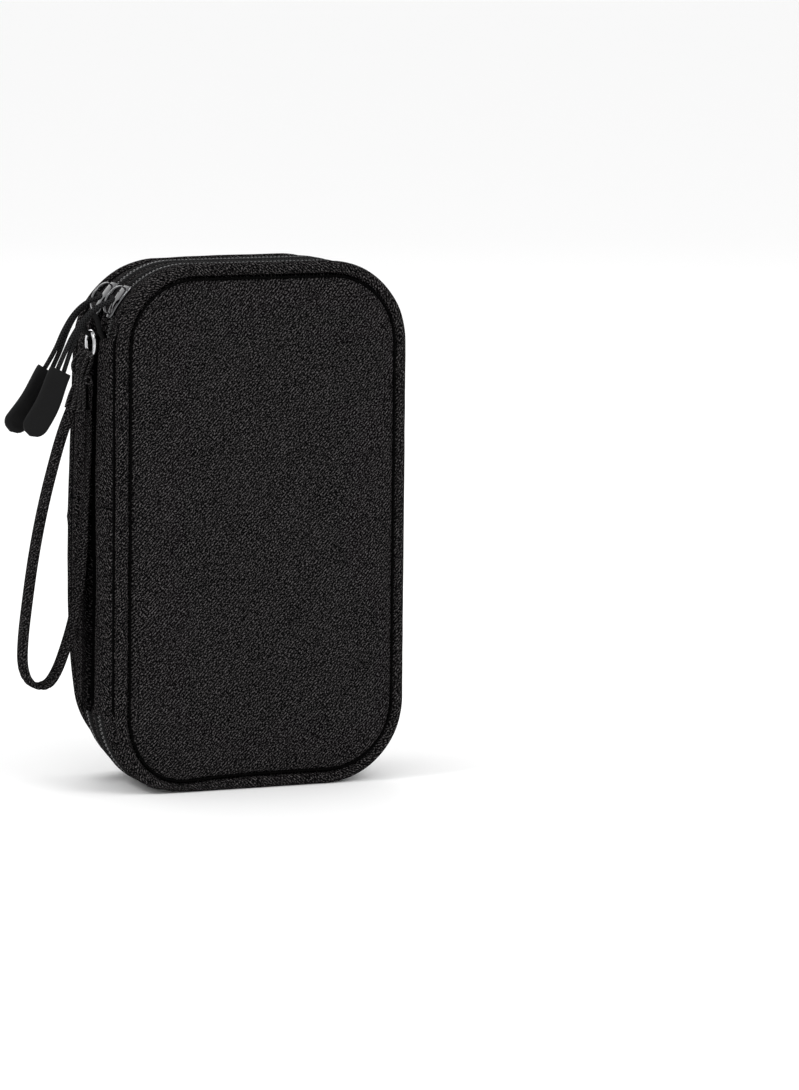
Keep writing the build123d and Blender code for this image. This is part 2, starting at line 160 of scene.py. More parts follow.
# ------------------------------------------------------------------ the outline
def walk(s):
    """Centre of curvature and outward direction at each distance s round the outline.

    s starts at the middle of the spine and runs down, along the bottom, up the far side and back.
    """
    quarter = CORNER * math.pi / 2
    stretches = (
        (HALF_Z, (-HALF_X, 0), (0, -1), 180, 0),
        (quarter, (-HALF_X, -HALF_Z), (0, 0), 180, 90),
        (2 * HALF_X, (-HALF_X, -HALF_Z), (1, 0), 270, 0),
        (quarter, (HALF_X, -HALF_Z), (0, 0), 270, 90),
        (2 * HALF_Z, (HALF_X, -HALF_Z), (0, 1), 0, 0),
        (quarter, (HALF_X, HALF_Z), (0, 0), 0, 90),
        (2 * HALF_X, (HALF_X, HALF_Z), (-1, 0), 90, 0),
        (quarter, (-HALF_X, HALF_Z), (0, 0), 90, 90),
        (HALF_Z, (-HALF_X, HALF_Z), (0, -1), 180, 0),
    )
    s = np.mod(np.atleast_1d(np.asarray(s, float)), ROUND)
    centre = np.zeros((len(s), 2))
    angle = np.zeros(len(s))
    start = 0.0
    for length, (cx, cz), (dx, dz), turned, turn in stretches:
        inside = (s >= start - 1e-9) & (s <= start + length + 1e-9)
        done = s[inside] - start
        centre[inside] = np.stack([cx + dx * done, cz + dz * done], axis=1)
        angle[inside] = np.radians(turned + turn * done / length)
        start += length
    return centre, np.stack([np.cos(angle), np.sin(angle)], axis=1)


def around(s, inset, y):
    """Points at the distances s round the outline, moved inwards by inset, at depth y."""
    centre, outward = walk(s)
    inset = np.broadcast_to(np.asarray(inset, float), (len(centre),))
    out = np.maximum(CORNER - inset, 0.0)
    shrink = np.clip((inset - CORNER) / HALF_X, 0, 1)
    x = centre[:, 0] * (1 - shrink) + outward[:, 0] * out
    z = centre[:, 1] * (1 - shrink * HALF_X / HALF_Z) + outward[:, 1] * out
    y = np.broadcast_to(np.asarray(y, float), x.shape)
    return np.stack([x, y, z + MID_Z], axis=1)


def round_steps(step):
    """Distances all the way round the outline, about step apart."""
    count = 4 * round(ROUND / step / 4)
    return np.arange(count) * ROUND / count


# The zippers run from below the spine's cover, round the far side, to above it.
ZIP_START = MID_Z - SPINE_LOW + 1.0
ZIP_END = ROUND - (RIDGE_HIGH[2] - MID_Z) - 0.5
SPINE_TOP = 160.0
FRONT_ZIP_END = ROUND - (SPINE_TOP + 1.0 - MID_Z)


def in_spine(z, soft=3.0):
    """1 beside the spine's cover, 0 beyond its ends."""
    return smooth((z - SPINE_LOW) / soft) * smooth((SPINE_TOP + 4 - z) / soft)


# ------------------------------------------------------------------ mesh making
def make_mesh(name, points, faces, uvs=None):
    """A smooth-shaded mesh object from points in millimetres. uvs has one pair for each face corner."""
    mesh = bpy.data.meshes.new(name)
    mesh.from_pydata((np.asarray(points, float) * MM).tolist(), [], faces)
    if uvs is not None:
        layer = mesh.uv_layers.new(name="UVMap")
        layer.data.foreach_set("uv", (np.asarray(uvs, float) * MM).ravel())
    mesh.polygons.foreach_set("use_smooth", [True] * len(mesh.polygons))
    obj = bpy.data.objects.new(name, mesh)
    bpy.context.scene.collection.objects.link(obj)
    return obj


def distances(line):
    """How far along a line each of its points lies."""
    return np.concatenate([[0], np.cumsum(np.linalg.norm(np.diff(line, axis=0), axis=1))])


def directions(line):
    """The unit direction of a line at each of its points."""
    ways = np.gradient(line, axis=0)
    return ways / np.linalg.norm(ways, axis=1)[:, None]


def grid(n, m, wrap, close):
    """The four corners of each face between n rows of m points."""
    return [
        [(i, j), (i + 1, j), (i + 1, j + 1), (i, j + 1)]
        for i in range(n if wrap else n - 1) for j in range(m if close else m - 1)
    ]


def lofted(name, rows, wrap=False, close=False, lean=True, flip=False):
    """A surface through rows of points. wrap joins the last row to the first, close each row's ends."""
    rows = np.asarray(rows, float)
    n, m = rows.shape[:2]
    along = distances(rows[:, m // 2])
    across = distances(rows[0])
    along = np.append(along, along[-1] + np.linalg.norm(rows[0, m // 2] - rows[-1, m // 2]))
    across = np.append(across, across[-1] + np.linalg.norm(rows[0, 0] - rows[0, -1]))
    faces, uvs = [], []
    for corners in grid(n, m, wrap, close):
        if flip:
            corners.reverse()
        faces.append([(a % n) * m + b % m for a, b in corners])
        uvs += [(along[a], across[b]) for a, b in corners]
    points = rows.reshape(-1, 3)
    return make_mesh(name, leaned(points) if lean else points, faces, uvs)


def ring_loft(name, rings, **how):
    """A surface through rings of points that each run all the way round the outline."""
    return lofted(name, np.stack(rings, axis=1), wrap=True, **how)


@contextmanager
def edited(obj):
    """The object's mesh, open to edits that are written back at the end."""
    mesh = bmesh.new()
    mesh.from_mesh(obj.data)
    yield mesh
    mesh.to_mesh(obj.data)
    mesh.free()


def cap_ends(obj):
    """Closes the open ends of a tube."""
    with edited(obj) as mesh:
        bmesh.ops.holes_fill(mesh, edges=[e for e in mesh.edges if e.is_boundary], sides=0)
        for face in mesh.faces:
            face.smooth = True
        bmesh.ops.recalc_face_normals(mesh, faces=mesh.faces)
    return obj


def applied(obj, *modifiers):
    """Adds modifiers, each (type, settings), and makes their result the mesh."""
    for kind, settings in modifiers:
        modifier = obj.modifiers.new(kind.title(), kind)
        for key, value in settings.items():
            setattr(modifier, key, value)
    bpy.context.view_layer.update()
    evaluated = obj.evaluated_get(bpy.context.evaluated_depsgraph_get())
    mesh = bpy.data.meshes.new_from_object(evaluated)
    obj.modifiers.clear()
    obj.data = mesh
    return obj


def merged(obj):
    """Joins points that nearly coincide, and drops collapsed faces."""
    with edited(obj) as mesh:
        bmesh.ops.remove_doubles(mesh, verts=mesh.verts, dist=0.3 * MM)
        bmesh.ops.dissolve_degenerate(mesh, edges=mesh.edges, dist=0.02 * MM)
    return obj


def thicken(obj, thick, offset=-1.0):
    """Gives a sheet its thickness, in millimetres: offset 0 puts half on each side."""
    return applied(obj, ("SOLIDIFY", {"thickness": thick * MM, "offset": offset}))


def copies(name, shape_points, shape_faces, places, lean=True):
    """One mesh holding a small shape at many places, each an origin and three axes."""
    points, faces = [], []
    shape = np.asarray(shape_points, float)
    for origin, axes in places:
        base = len(points) * len(shape)
        points.append(np.asarray(origin) + shape @ np.asarray(axes))
        faces += [[base + k for k in face] for face in shape_faces]
    points = np.concatenate(points)
    return make_mesh(name, leaned(points) if lean else points, faces)


def oval(across, thick, count, power=1.0, thick_power=None):
    """Points round an oval, from half its width and half its thickness. Powers under 1 make it squarer."""
    ring = []
    for turn in np.linspace(0, 2 * math.pi, count, endpoint=False):
        c, s = math.cos(turn), math.sin(turn)
        a, b = abs(c) ** power, abs(s) ** (thick_power or power)
        ring.append((across * math.copysign(a, c), thick * math.copysign(b, s)))
    return ring


def capsule(length, across, thick, sides=6):
    """A small rounded bar along its first axis: points and faces."""
    rings = ((-0.5, 0.35), (-0.42, 0.8), (0.0, 1.0), (0.42, 0.8), (0.5, 0.35))
    points = []
    for at, size in rings:
        points += [(at * length, a, b) for a, b in oval(across / 2 * size, thick / 2 * size, sides)]
    faces = [list(range(sides - 1, -1, -1)), list(range(len(points) - sides, len(points)))]
    for corners in grid(len(rings), sides, False, True):
        faces.append([i * sides + k % sides for i, k in reversed(corners)])
    return points, faces


def round_places(s_values, inset, y):
    """Origins and axes (along, outward, depth) for small pieces round the outline."""
    return [
        (p, ((-oz, 0, ox), (ox, 0, oz), (0, 1, 0)))
        for p, (ox, oz) in zip(around(s_values, inset, y), walk(s_values)[1])
    ]


def line_places(points, step):
    """Origins and axes for small pieces spaced along a line of points."""
    points = np.asarray(points, float)
    gone = distances(points)
    places = []
    for at in np.arange(step / 2, gone[-1], step):
        k = min(np.searchsorted(gone, at) - 1, len(points) - 2)
        way = points[k + 1] - points[k]
        way = way / np.linalg.norm(way)
        here = points[k] + way * (at - gone[k])
        side = np.cross((0, 1, 0), way)
        side = side / np.linalg.norm(side)
        places.append((here, (way, side, np.cross(way, side))))
    return places


def smooth_line(points):
    """The smooth line that has a route's points, in millimetres, as its control points."""
    curve = bpy.data.curves.new("route", "CURVE")
    curve.dimensions = "3D"
    curve.resolution_u = 10
    spline = curve.splines.new("NURBS")
    spline.points.add(len(points) - 1)
    for point, place in zip(spline.points, points):
        point.co = (place[0] * MM, place[1] * MM, place[2] * MM, 1.0)
    spline.order_u = 3
    spline.use_endpoint_u = True
    holder = bpy.data.objects.new("route", curve)
    bpy.context.scene.collection.objects.link(holder)
    bpy.context.view_layer.update()
    mesh = bpy.data.meshes.new_from_object(holder.evaluated_get(bpy.context.evaluated_depsgraph_get()))
    line = np.array([v.co for v in mesh.vertices]) / MM
    bpy.data.objects.remove(holder)
    bpy.data.curves.remove(curve)
    bpy.data.meshes.remove(mesh)
    return line


def along_line(name, line, section, across=(0, 1, 0)):
    """A tube along a line. section(t) gives its outline's points: (across, outward) pairs."""
    line = np.asarray(line, float)
    side = np.asarray(across, float)
    rows = []
    for k, (here, way) in enumerate(zip(line, directions(line))):
        side = side - way * (side @ way)
        side /= np.linalg.norm(side)
        up = np.cross(way, side)
        rows.append([here + a * side + b * up for a, b in section(k / (len(line) - 1))])
    return cap_ends(lofted(name, rows, close=True, lean=False))


# ------------------------------------------------------------------ materials
def new_material(name):
    """A new node material, its tree and its shader."""
    material = bpy.data.materials.new(name)
    material.use_nodes = True
    tree = material.node_tree
    return material, tree, tree.nodes["Principled BSDF"]


def add_node(tree, kind, inputs=None, **settings):
    """A node with its settings and inputs. An input is a value or another node's output."""
    node = tree.nodes.new(kind)
    for key, value in settings.items():
        setattr(node, key, value)
    for key, value in (inputs or {}).items():
        if isinstance(value, bpy.types.NodeSocket):
            tree.links.new(value, node.inputs[key])
        else:
            node.inputs[key].default_value = value
    return node


def ramp(tree, fac, stops):
    """A colour ramp with stops of (place, grey or colour)."""
    node = add_node(tree, "ShaderNodeValToRGB", {"Fac": fac})
    elements = node.color_ramp.elements
    while len(elements) < len(stops):
        elements.new(0.5)
    for element, (place, colour) in zip(elements, stops):
        element.position = place
        colour = (colour,) * 3 if isinstance(colour, float) else colour
        element.color = (*colour, 1.0)
    return node.outputs["Color"]


def mix(tree, fac, a, b, blend="MIX"):
    """The mix of two colours."""
    node = add_node(tree, "ShaderNodeMix", data_type="RGBA", blend_type=blend)
    for key, value in ((0, fac), (6, a), (7, b)):
        if isinstance(value, bpy.types.NodeSocket):
            tree.links.new(value, node.inputs[key])
        elif isinstance(value, tuple):
            node.inputs[key].default_value = (*value, 1.0)
        else:
            node.inputs[key].default_value = value
    return node.outputs[2]


def cloth_place(tree, turn=0.0, stretch=(1.0, 1.0, 1.0)):
    """The cloth's own coordinates, in millimetres, turned and stretched."""
    uv = add_node(tree, "ShaderNodeUVMap", uv_map="UVMap")
    scale = tuple(MM / f for f in stretch)
    inputs = {"Vector": uv.outputs["UV"], "Rotation": (0, 0, math.radians(turn)), "Scale": scale}
    return add_node(tree, "ShaderNodeMapping", inputs, vector_type="TEXTURE").outputs["Vector"]


def texture(tree, kind, place, scale, **inputs):
    """The grey value of a noise texture, or of a wave texture's bands."""
    settings = {"wave_type": "BANDS"} if kind == "Wave" else {}
    named = {key.replace("_", " ").title(): value for key, value in inputs.items()}
    return add_node(
        tree, f"ShaderNodeTex{kind}", {"Vector": place, "Scale": scale, **named}, **settings,
    ).outputs["Fac"]


SOCKETS = {
    "roughness": "Roughness", "gloss": "Specular IOR Level", "sheen": "Sheen Weight", "metallic": "Metallic",
}


def surface(tree, shader, colour, height, strength, depth, **values):
    """Gives the shader its colour, a bump from the height, and fixed values for some of SOCKETS."""
    tree.links.new(colour, shader.inputs["Base Color"])
    bump = add_node(tree, "ShaderNodeBump", {"Height": height, "Strength": strength, "Distance": depth})
    tree.links.new(bump.outputs["Normal"], shader.inputs["Normal"])
    for key, value in values.items():
        shader.inputs[SOCKETS[key]].default_value = value


def toned(tree, tone, low, high, dark, light):
    """Dark where the tone is under low, light where it is over high, and a blend between."""
    return mix(tree, ramp(tree, tone, ((low, 0.0), (high, 1.0))), dark, light)


def twill(name, dark, light, fleck, coverage, scale=2.0):
    """Matt heathered twill: short light fibres along fine diagonal ribs, and slow changes of tone."""
    material, tree, shader = new_material(name)
    ribs = texture(tree, "Wave", cloth_place(tree, -42), 0.32, distortion=5.0, detail=2.0, detail_scale=3.0)
    along = cloth_place(tree, 46, (0.75, 1.25, 1.0))
    fibres = texture(tree, "Noise", along, scale, detail=2.0, roughness=0.6)
    slow = texture(tree, "Noise", cloth_place(tree), 0.06, detail=3.0)
    base = toned(tree, slow, 0.35, 0.65, dark, light)
    woven = mix(tree, 0.12, fibres, ribs)
    edge = 0.60 - 0.2 * coverage
    colour = toned(tree, woven, edge - 0.02, edge + 0.15, base, fleck)
    surface(tree, shader, colour, woven, 0.7, 0.0003, roughness=0.95, gloss=0.0)
    return material


def ribbed_tape(name, dark, light, pitch):
    """Woven tape: ribs across it every pitch millimetres, and a fine weave."""
    material, tree, shader = new_material(name)
    ribs = texture(tree, "Wave", cloth_place(tree), 0.31 / pitch, distortion=0.5, detail=1.0)
    grain = texture(tree, "Noise", cloth_place(tree), 1.8, detail=4.0)
    tone = mix(tree, 0.5, ribs, grain)
    colour = toned(tree, tone, 0.3, 0.7, dark, light)
    surface(tree, shader, colour, tone, 0.45, 0.0003, roughness=0.8, gloss=0.02)
    return material


def satin(name, dark, light):
    """Lining satin: a soft sheen, fine threads, and faint creases that lighten and darken its colour as
    painted sheen and shade.
    """
    material, tree, shader = new_material(name)
    along = cloth_place(tree, 30, (1.0, 0.35, 1.0))
    creases = texture(tree, "Noise", along, 0.09, detail=4.0, distortion=0.6)
    threads = texture(tree, "Wave", cloth_place(tree), 1.1, distortion=0.4)
    tone = mix(tree, 0.12, creases, threads)
    colour = toned(tree, tone, 0.35, 0.65, dark, light)
    surface(tree, shader, colour, tone, 0.35, 0.0008, sheen=0.15)
    tree.links.new(ramp(tree, creases, ((0.3, 0.42), (0.7, 0.58))), shader.inputs["Roughness"])
    return material


def moulded(name, colour, roughness, metallic=0.0, grain=0.0, gloss=0.5):
    """A moulded or cast surface with a faint grain and a little wear in its gloss."""
    material, tree, shader = new_material(name)
    place = add_node(tree, "ShaderNodeTexCoord").outputs["Object"]
    fine = texture(tree, "Noise", place, 2600.0, detail=2.0)
    broad = texture(tree, "Noise", place, 240.0, detail=3.0)
    lighter = tuple(min(1.0, c * 1.35 + 0.002) for c in colour)
    tone = mix(tree, broad, colour, lighter)
    surface(tree, shader, tone, fine, grain, 0.0001, metallic=metallic, gloss=gloss)
    worn = ramp(tree, broad, ((0.3, roughness * 0.85), (0.7, min(1.0, roughness * 1.15))))
    tree.links.new(worn, shader.inputs["Roughness"])
    return material


def braid(name, dark, light):
    """Braided cord: crossing strands, their light crests painted highlights."""
    material, tree, shader = new_material(name)
    strands = [texture(tree, "Wave", cloth_place(tree, turn), 0.36) for turn in (38, -38)]
    woven = mix(tree, 1.0, *strands, "LIGHTEN")
    colour = toned(tree, woven, 0.4, 0.95, dark, light)
    surface(tree, shader, colour, woven, 0.6, 0.0003, roughness=0.8, gloss=0.02)
    return material


# Fabrics: dark and light thread, the flecks' colour, how much they cover, and how fine they are.
FABRIC = twill(
    "heathered_twill", (0.0012, 0.0012, 0.0013), (0.0026, 0.0025, 0.0026), (0.1, 0.094, 0.095), 0.335,
)
EDGE_FABRIC = twill(
    "edge_twill", (0.001, 0.001, 0.0011), (0.0022, 0.0021, 0.0022), (0.112, 0.105, 0.106), 0.3, 1.7,
)
# A darker copy of the twill for the recessed ridge: painted shade between the two spine covers.
RIDGE_SHADE_FABRIC = twill(
    "ridge_twill_painted_shade", (0.0008, 0.0008, 0.0009), (0.0016, 0.0015, 0.0016), (0.045, 0.042, 0.043), 0.28, 1.7,
)
# A lighter copy of the strap's twill for the neck's gathered folds and knot loop: painted light on the folds.
NECK_LIT_FABRIC = twill(
    "neck_twill_painted_light", (0.004, 0.004, 0.0041), (0.007, 0.0069, 0.007), (0.13, 0.124, 0.125), 0.45, 2.4,
)
TAPE = ribbed_tape("zipper_tape", (0.003, 0.003, 0.003), (0.011, 0.011, 0.0115), 0.8)
TEETH = moulded("zipper_teeth", (0.008, 0.008, 0.008), 0.25, gloss=0.35)
# Nickel made much darker than its own colour: painted dark reflections on the sliders.
METAL = moulded("nickel", (0.105, 0.105, 0.108), 0.1, metallic=1.0)
# A far lighter copy of the same nickel for the ring: painted highlight.
RING_GLINT_METAL = moulded("nickel_painted_highlight", (0.55, 0.55, 0.56), 0.12, metallic=1.0)
# Near-black and matt: painted shade, for the sunk seams beside the piping, the spine's grooves and the hollow
# behind the neck's folds.
PAINTED_SHADE = moulded("groove_painted_shade", (0.0012, 0.0012, 0.0012), 0.95, gloss=0.0)
RUBBER = moulded("pull_rubber", (0.005, 0.005, 0.0052), 0.6, grain=0.8, gloss=0.08)
# The cord's light strand colour is painted highlight on a black braid.
CORD = braid("cord_braid", (0.0015, 0.0015, 0.0015), (0.024, 0.024, 0.0248))
LINING = satin("lining_satin", (0.20, 0.225, 0.28), (0.32, 0.35, 0.41))
BINDING = ribbed_tape("binding_tape", (0.27, 0.28, 0.30), (0.46, 0.47, 0.49), 0.9)
NET = ribbed_tape("pocket_net", (0.38, 0.40, 0.43), (0.58, 0.60, 0.63), 0.7)
THREAD = ribbed_tape("light_thread", (0.42, 0.43, 0.45), (0.62, 0.63, 0.65), 0.5)
DARK_THREAD = ribbed_tape("dark_thread", (0.005, 0.005, 0.005), (0.018, 0.018, 0.0185), 0.5)


def piece(obj, body, material, slot, *nodes):
    """Dresses a finished object, gives it to its body, and hides the CAD nodes it stands for."""
    obj.data.materials.clear()
    obj.data.materials.append(material)
    if nodes:
        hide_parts(*nodes)
    if body:
        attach(obj, body)
    return obj


# ------------------------------------------------------------------ camera
CAMERA_AT = (-696.7, -1806.4, 351.2)
CAMERA_LENS = 180.6
yaw, pitch, roll = 0.398, -0.137, 0.010  # radians
forward = Vector((math.sin(yaw) * math.cos(pitch), math.cos(yaw) * math.cos(pitch), math.sin(pitch)))
level = Vector((math.cos(yaw), -math.sin(yaw), 0))
upward = level.cross(forward)
right = level * math.cos(roll) + upward * math.sin(roll)
upright = upward * math.cos(roll) - level * math.sin(roll)
camera_data = bpy.data.cameras.new("camera")
camera_data.lens = CAMERA_LENS
camera_data.sensor_width = 36.0
camera_data.clip_end = 20.0
camera = bpy.data.objects.new("camera", camera_data)
turned = Matrix((right, upright, -forward)).transposed().to_4x4()
camera.matrix_world = Matrix.Translation(Vector(CAMERA_AT) * MM) @ turned
bpy.context.scene.collection.objects.link(camera)
bpy.context.scene.camera = camera


# ------------------------------------------------------------------ zipper pulls
CORD_D = 1.7
CORD_GAP = 2.5  # between the cord's two ends, where they enter the tab
TAB_LENGTH = 25.2
TAB_HALF_THICK = 1.35
TAB_DISH = 0.22  # how deep the flat faces are sunk inside their rim
PULL_LEAN = -3.2  # at the slider; it fades to a third at the tab
ARC_X, ARC_Z = -HALF_X, MID_Z + HALF_Z
BRIDGE_AT = [v / MM for v in JOINTS["front_pull_lifts"]["pos_m"]]
# Where the sliders rest on the corner, in degrees from +X towards +Z.
SLIDER_TURN = math.degrees(math.atan2(BRIDGE_AT[2] - ARC_Z, BRIDGE_AT[0] - ARC_X))


def circle_section(diameter, sides=12):
    """A round section for along_line."""
    ring = oval(diameter / 2, diameter / 2, sides)
    return lambda t: ring


def pull_route(teeth_y, pull_y, corners, tab_top, tab_lean):
    """The pull cord's route, from the tab through the slider's bridge and back to the tab."""
    hole_x, _, hole_z = BRIDGE_AT
    lean = math.radians(tab_lean)
    aside_x, aside_z = CORD_GAP / 2 * math.cos(lean), -CORD_GAP / 2 * math.sin(lean)
    ends = [(tab_top[0] + s * aside_x, pull_y, tab_top[1] + s * aside_z) for s in (-1, 1)]
    outer = [(x - 0.9, y - spread, z + 0.4) for x, z, y, spread in corners]
    inner = [(x + 0.9, y + spread, z - 0.4) for x, z, y, spread in corners]
    turn = math.radians(SLIDER_TURN)
    near_x, near_z = hole_x - 1.4 * math.sin(turn), hole_z + 1.4 * math.cos(turn)
    points = [ends[0], *outer[::-1], (near_x, teeth_y - 2.4, near_z)]
    points += [(hole_x, teeth_y - 1.7, hole_z), (hole_x, teeth_y + 1.7, hole_z)]
    points += [(near_x, teeth_y + 2.4, near_z), *inner, ends[1]]
    low = tab_top[1]
    return [(x, y + PULL_LEAN * (0.35 + 0.65 * (z - low) / (hole_z - low)), z) for x, y, z in points]


def tab_mesh(name, top, lean, y, width):
    """A moulded tab: a flat tongue, square at its cord end, rounded at the other, slightly bowed."""
    turn = math.radians(lean)
    down = np.array((-math.sin(turn), 0, -math.cos(turn)))
    across = np.array((math.cos(turn), 0, -math.sin(turn)))
    origin = np.array((top[0], y, top[1]))
    rows = []
    for t in np.linspace(0, 1, 33):
        at = TAB_LENGTH * t
        from_end = TAB_LENGTH - at
        half = width / 2 * (0.89 + 0.11 * smooth(t * 1.3))
        if from_end < half:
            half = math.sqrt(max(half**2 - (half - from_end) ** 2, 0.01))
        half *= 0.97 if at < 0.5 else 1.0
        thick = TAB_HALF_THICK * (1 if at > 0.5 else 0.85) * (1 if from_end > 1.0 else 0.75)
        bow = 0.9 * math.sin(math.pi * t) ** 2
        flat = smooth(at / 2 - 0.8) * smooth(from_end / 2 - 0.8)
        row = []
        for a, b in oval(half, thick, 24, 0.55):
            if abs(b) > 0.4 * thick:
                b -= math.copysign(TAB_DISH * smooth((half * 0.72 - abs(a)) / 0.6) * flat, b)
            row.append(origin + down * at + across * (a + bow) + np.array((0, b, 0)))
        rows.append(row)
    return cap_ends(lofted(name, rows, close=True, lean=False))


PULLS = {
    "front": dict(
        teeth=FRONT_TEETH, y=-11.0, top=(-71.1, 149.9), lean=26.5, width=9.2,
        corners=[
            (-56.8, 172.4, -9.6, 2.4), (-61.9, 168.4, -10.2, 1.7), (-66.2, 162.4, -10.8, 0.8),
            (-69.0, 155.8, -11.0, 0.2),
        ],
    ),
    "back": dict(
        teeth=BACK_TEETH, y=-3.3, top=(-73.3, 149.4), lean=33.0, width=9.0,
        corners=[
            (-57.0, 172.6, 3.1, 2.4), (-62.4, 168.6, 0.9, 1.6), (-66.8, 162.6, -1.8, 0.8),
            (-69.9, 155.6, -3.3, 0.2),
        ],
    ),
}

for leaf, p in PULLS.items():
    line = smooth_line(pull_route(p["teeth"], p["y"], p["corners"], p["top"], p["lean"]))
    cord = along_line(f"{leaf}_cord_loop", line, circle_section(CORD_D))
    tab_y = p["y"] + 0.35 * PULL_LEAN
    tab = tab_mesh(f"{leaf}_rubber_tab", p["top"], p["lean"], tab_y, p["width"])
    piece(cord, f"{leaf}_pull", CORD, "cord", f"{leaf}_pull_cord")
    piece(tab, f"{leaf}_pull", RUBBER, "pull_rubber", f"{leaf}_pull_tab")
    for obj in (cord, tab):
        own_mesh(obj)

# ------------------------------------------------------------------ wrist strap
STRAP_LOW, STRAP_HIGH = node_box("wrist_strap")
STRAP_Y = (STRAP_LOW[1] + STRAP_HIGH[1]) / 2
STRAP_WIDTH = STRAP_HIGH[1] - STRAP_LOW[1]
STRAP_THICK = 2.3
# From the neck down the outer leg, round the foot and up the leg beside the ridge: x, z.
STRAP_ROUTE = [
    (-58.5, 144.5), (-60.6, 137.0), (-64.9, 127.0), (-69.0, 113.0), (-72.8, 98.0),
    (-75.9, 82.0), (-78.1, 66.5), (-79.7, 53.5), (-80.0, 43.0), (-76.8, 36.6),
    (-70.8, 36.0), (-67.0, 41.0), (-63.6, 50.0), (-60.6, 60.0), (-58.3, 73.0),
    (-57.1, 89.0), (-56.6, 106.0), (-56.5, 122.0), (-56.7, 135.0), (-56.4, 144.5),
]
STITCH_LINES = 0.33  # where the strap's rows of stitches run, as a share of its width
LEG_GATHER = (0.78, 0.9)  # shares of the route between which the leg by the ridge is drawn together


def strap_section(t):
    """A soft folded band: thick rounded edges with a stitched hollow between."""
    gathered = smooth((t - LEG_GATHER[0]) / (LEG_GATHER[1] - LEG_GATHER[0]))
    pinch = (1 - 0.45 * smooth(1 - t / 0.035)) * (1 - 0.58 * gathered)
    thick = STRAP_THICK / 2 * (1 - 0.3 * gathered)
    points = []
    for a, b in oval(STRAP_WIDTH / 2 * pinch, thick, 28, 0.7, 0.75):
        if abs(b) > 0.4 * thick:
            b -= math.copysign(0.28 * math.exp(-((abs(a) - STRAP_WIDTH * STITCH_LINES) / 0.45) ** 2), b)
        points.append((a, b))
    return points


def sway(z):
    """How far the ring and the strap's neck hang towards the front of the strap, in y."""
    return -5.3 * smooth((z - 140.0) / 18.0)


def leg_shift(number, z):
    """The leg by the ridge keeps its front edge where it is drawn together."""
    return -3.0 * smooth((z - 92.0) / 32.0) if number > len(STRAP_ROUTE) / 2 else 0.0


strap_line = smooth_line([
    (x - 0.15 * leg_shift(k, z), STRAP_Y + sway(z) + leg_shift(k, z), z)
    for k, (x, z) in enumerate(STRAP_ROUTE)
])
strap = along_line("strap_band", strap_line, strap_section)
piece(strap, "wrist_strap", FABRIC, "strap", "wrist_strap")
strap_sides = np.cross(directions(strap_line), (0, 1, 0))
stitch_depth = STRAP_THICK / 2 - 0.24
for number, (edge, facing) in enumerate(((-1, 1), (1, 1), (-1, -1), (1, -1))):
    seam = strap_line + (0, edge * STRAP_WIDTH * STITCH_LINES, 0) + strap_sides * facing * stitch_depth
    places = line_places(seam[6:round(LEG_GATHER[0] * len(seam))], 2.9)
    stitches = copies(f"strap_stitches_{number}", *capsule(2.0, 0.34, 0.3), places, lean=False)
    piece(stitches, "wrist_strap", DARK_THREAD, "strap")


NECK_BELOW = 9.4  # the gathering stitches, below the ring
# The gathered cloth: each fold runs from the ring, in at the stitches, and out again to the hem.
NECK_FOLDS = (
    (
        (-57.9, -3.0, 156.2), (-61.0, -2.8, 153.0), (-61.4, -1.6, 149.0),
        (-60.0, -0.4, 145.2), (-61.8, -1.2, 140.5), (-62.9, -1.4, 134.8),
    ),
    (
        (-57.7, -4.0, 155.6), (-59.0, -4.2, 151.5), (-59.9, -2.2, 147.8),
        (-59.3, -1.1, 145.0), (-60.4, -2.2, 140.0), (-61.1, -2.4, 133.8),
    ),
    (
        (-56.6, -4.0, 155.4), (-56.7, -4.2, 152.0), (-57.8, -2.6, 148.2),
        (-58.6, -1.2, 145.2), (-59.0, -2.7, 140.5), (-59.4, -3.0, 134.4),
    ),
    (
        (-58.3, -0.2, 156.0), (-61.6, 2.2, 152.0), (-61.2, 2.8, 148.0),
        (-59.9, 1.5, 145.2), (-62.2, 3.4, 140.0), (-63.3, 4.0, 135.0),
    ),
)
FOLD_ACROSS = (0.6, -0.8, 0)  # the neck's folds are turned towards the front


def fold_section(t):
    """A soft fold of cloth, drawn in where the thread gathers it."""
    pinch = 1 - 0.3 * math.exp(-((t - 0.48) / 0.09) ** 2)
    return oval(0.62 * pinch, 0.9 * pinch, 14)


for number, route in enumerate(NECK_FOLDS):
    fold = along_line(f"neck_fold_{number}", smooth_line(route), fold_section, FOLD_ACROSS)
    piece(fold, "wrist_strap", NECK_LIT_FABRIC, "strap", *(("strap_neck",) if number == 0 else ()))


def shade_section(t):
    """A near-black sheet of painted shade behind the folds: narrow at the ring, wide at the hem."""
    return oval(0.8 + 3.6 * smooth((t - 0.3) / 0.6), 0.4, 14)


neck_shade = along_line(
    "neck_painted_shade",
    smooth_line([(-56.4, 0.6, 153.0), (-57.0, 1.6, 147.0), (-58.4, 1.9, 141.0), (-59.2, 1.9, 134.8)]),
    shade_section, FOLD_ACROSS,
)
piece(neck_shade, "wrist_strap", PAINTED_SHADE, "strap")

ring_low, ring_high = node_box("strap_ring")
NECK_Z = ring_low[2] - NECK_BELOW
NECK_Y = STRAP_Y + sway(NECK_Z)


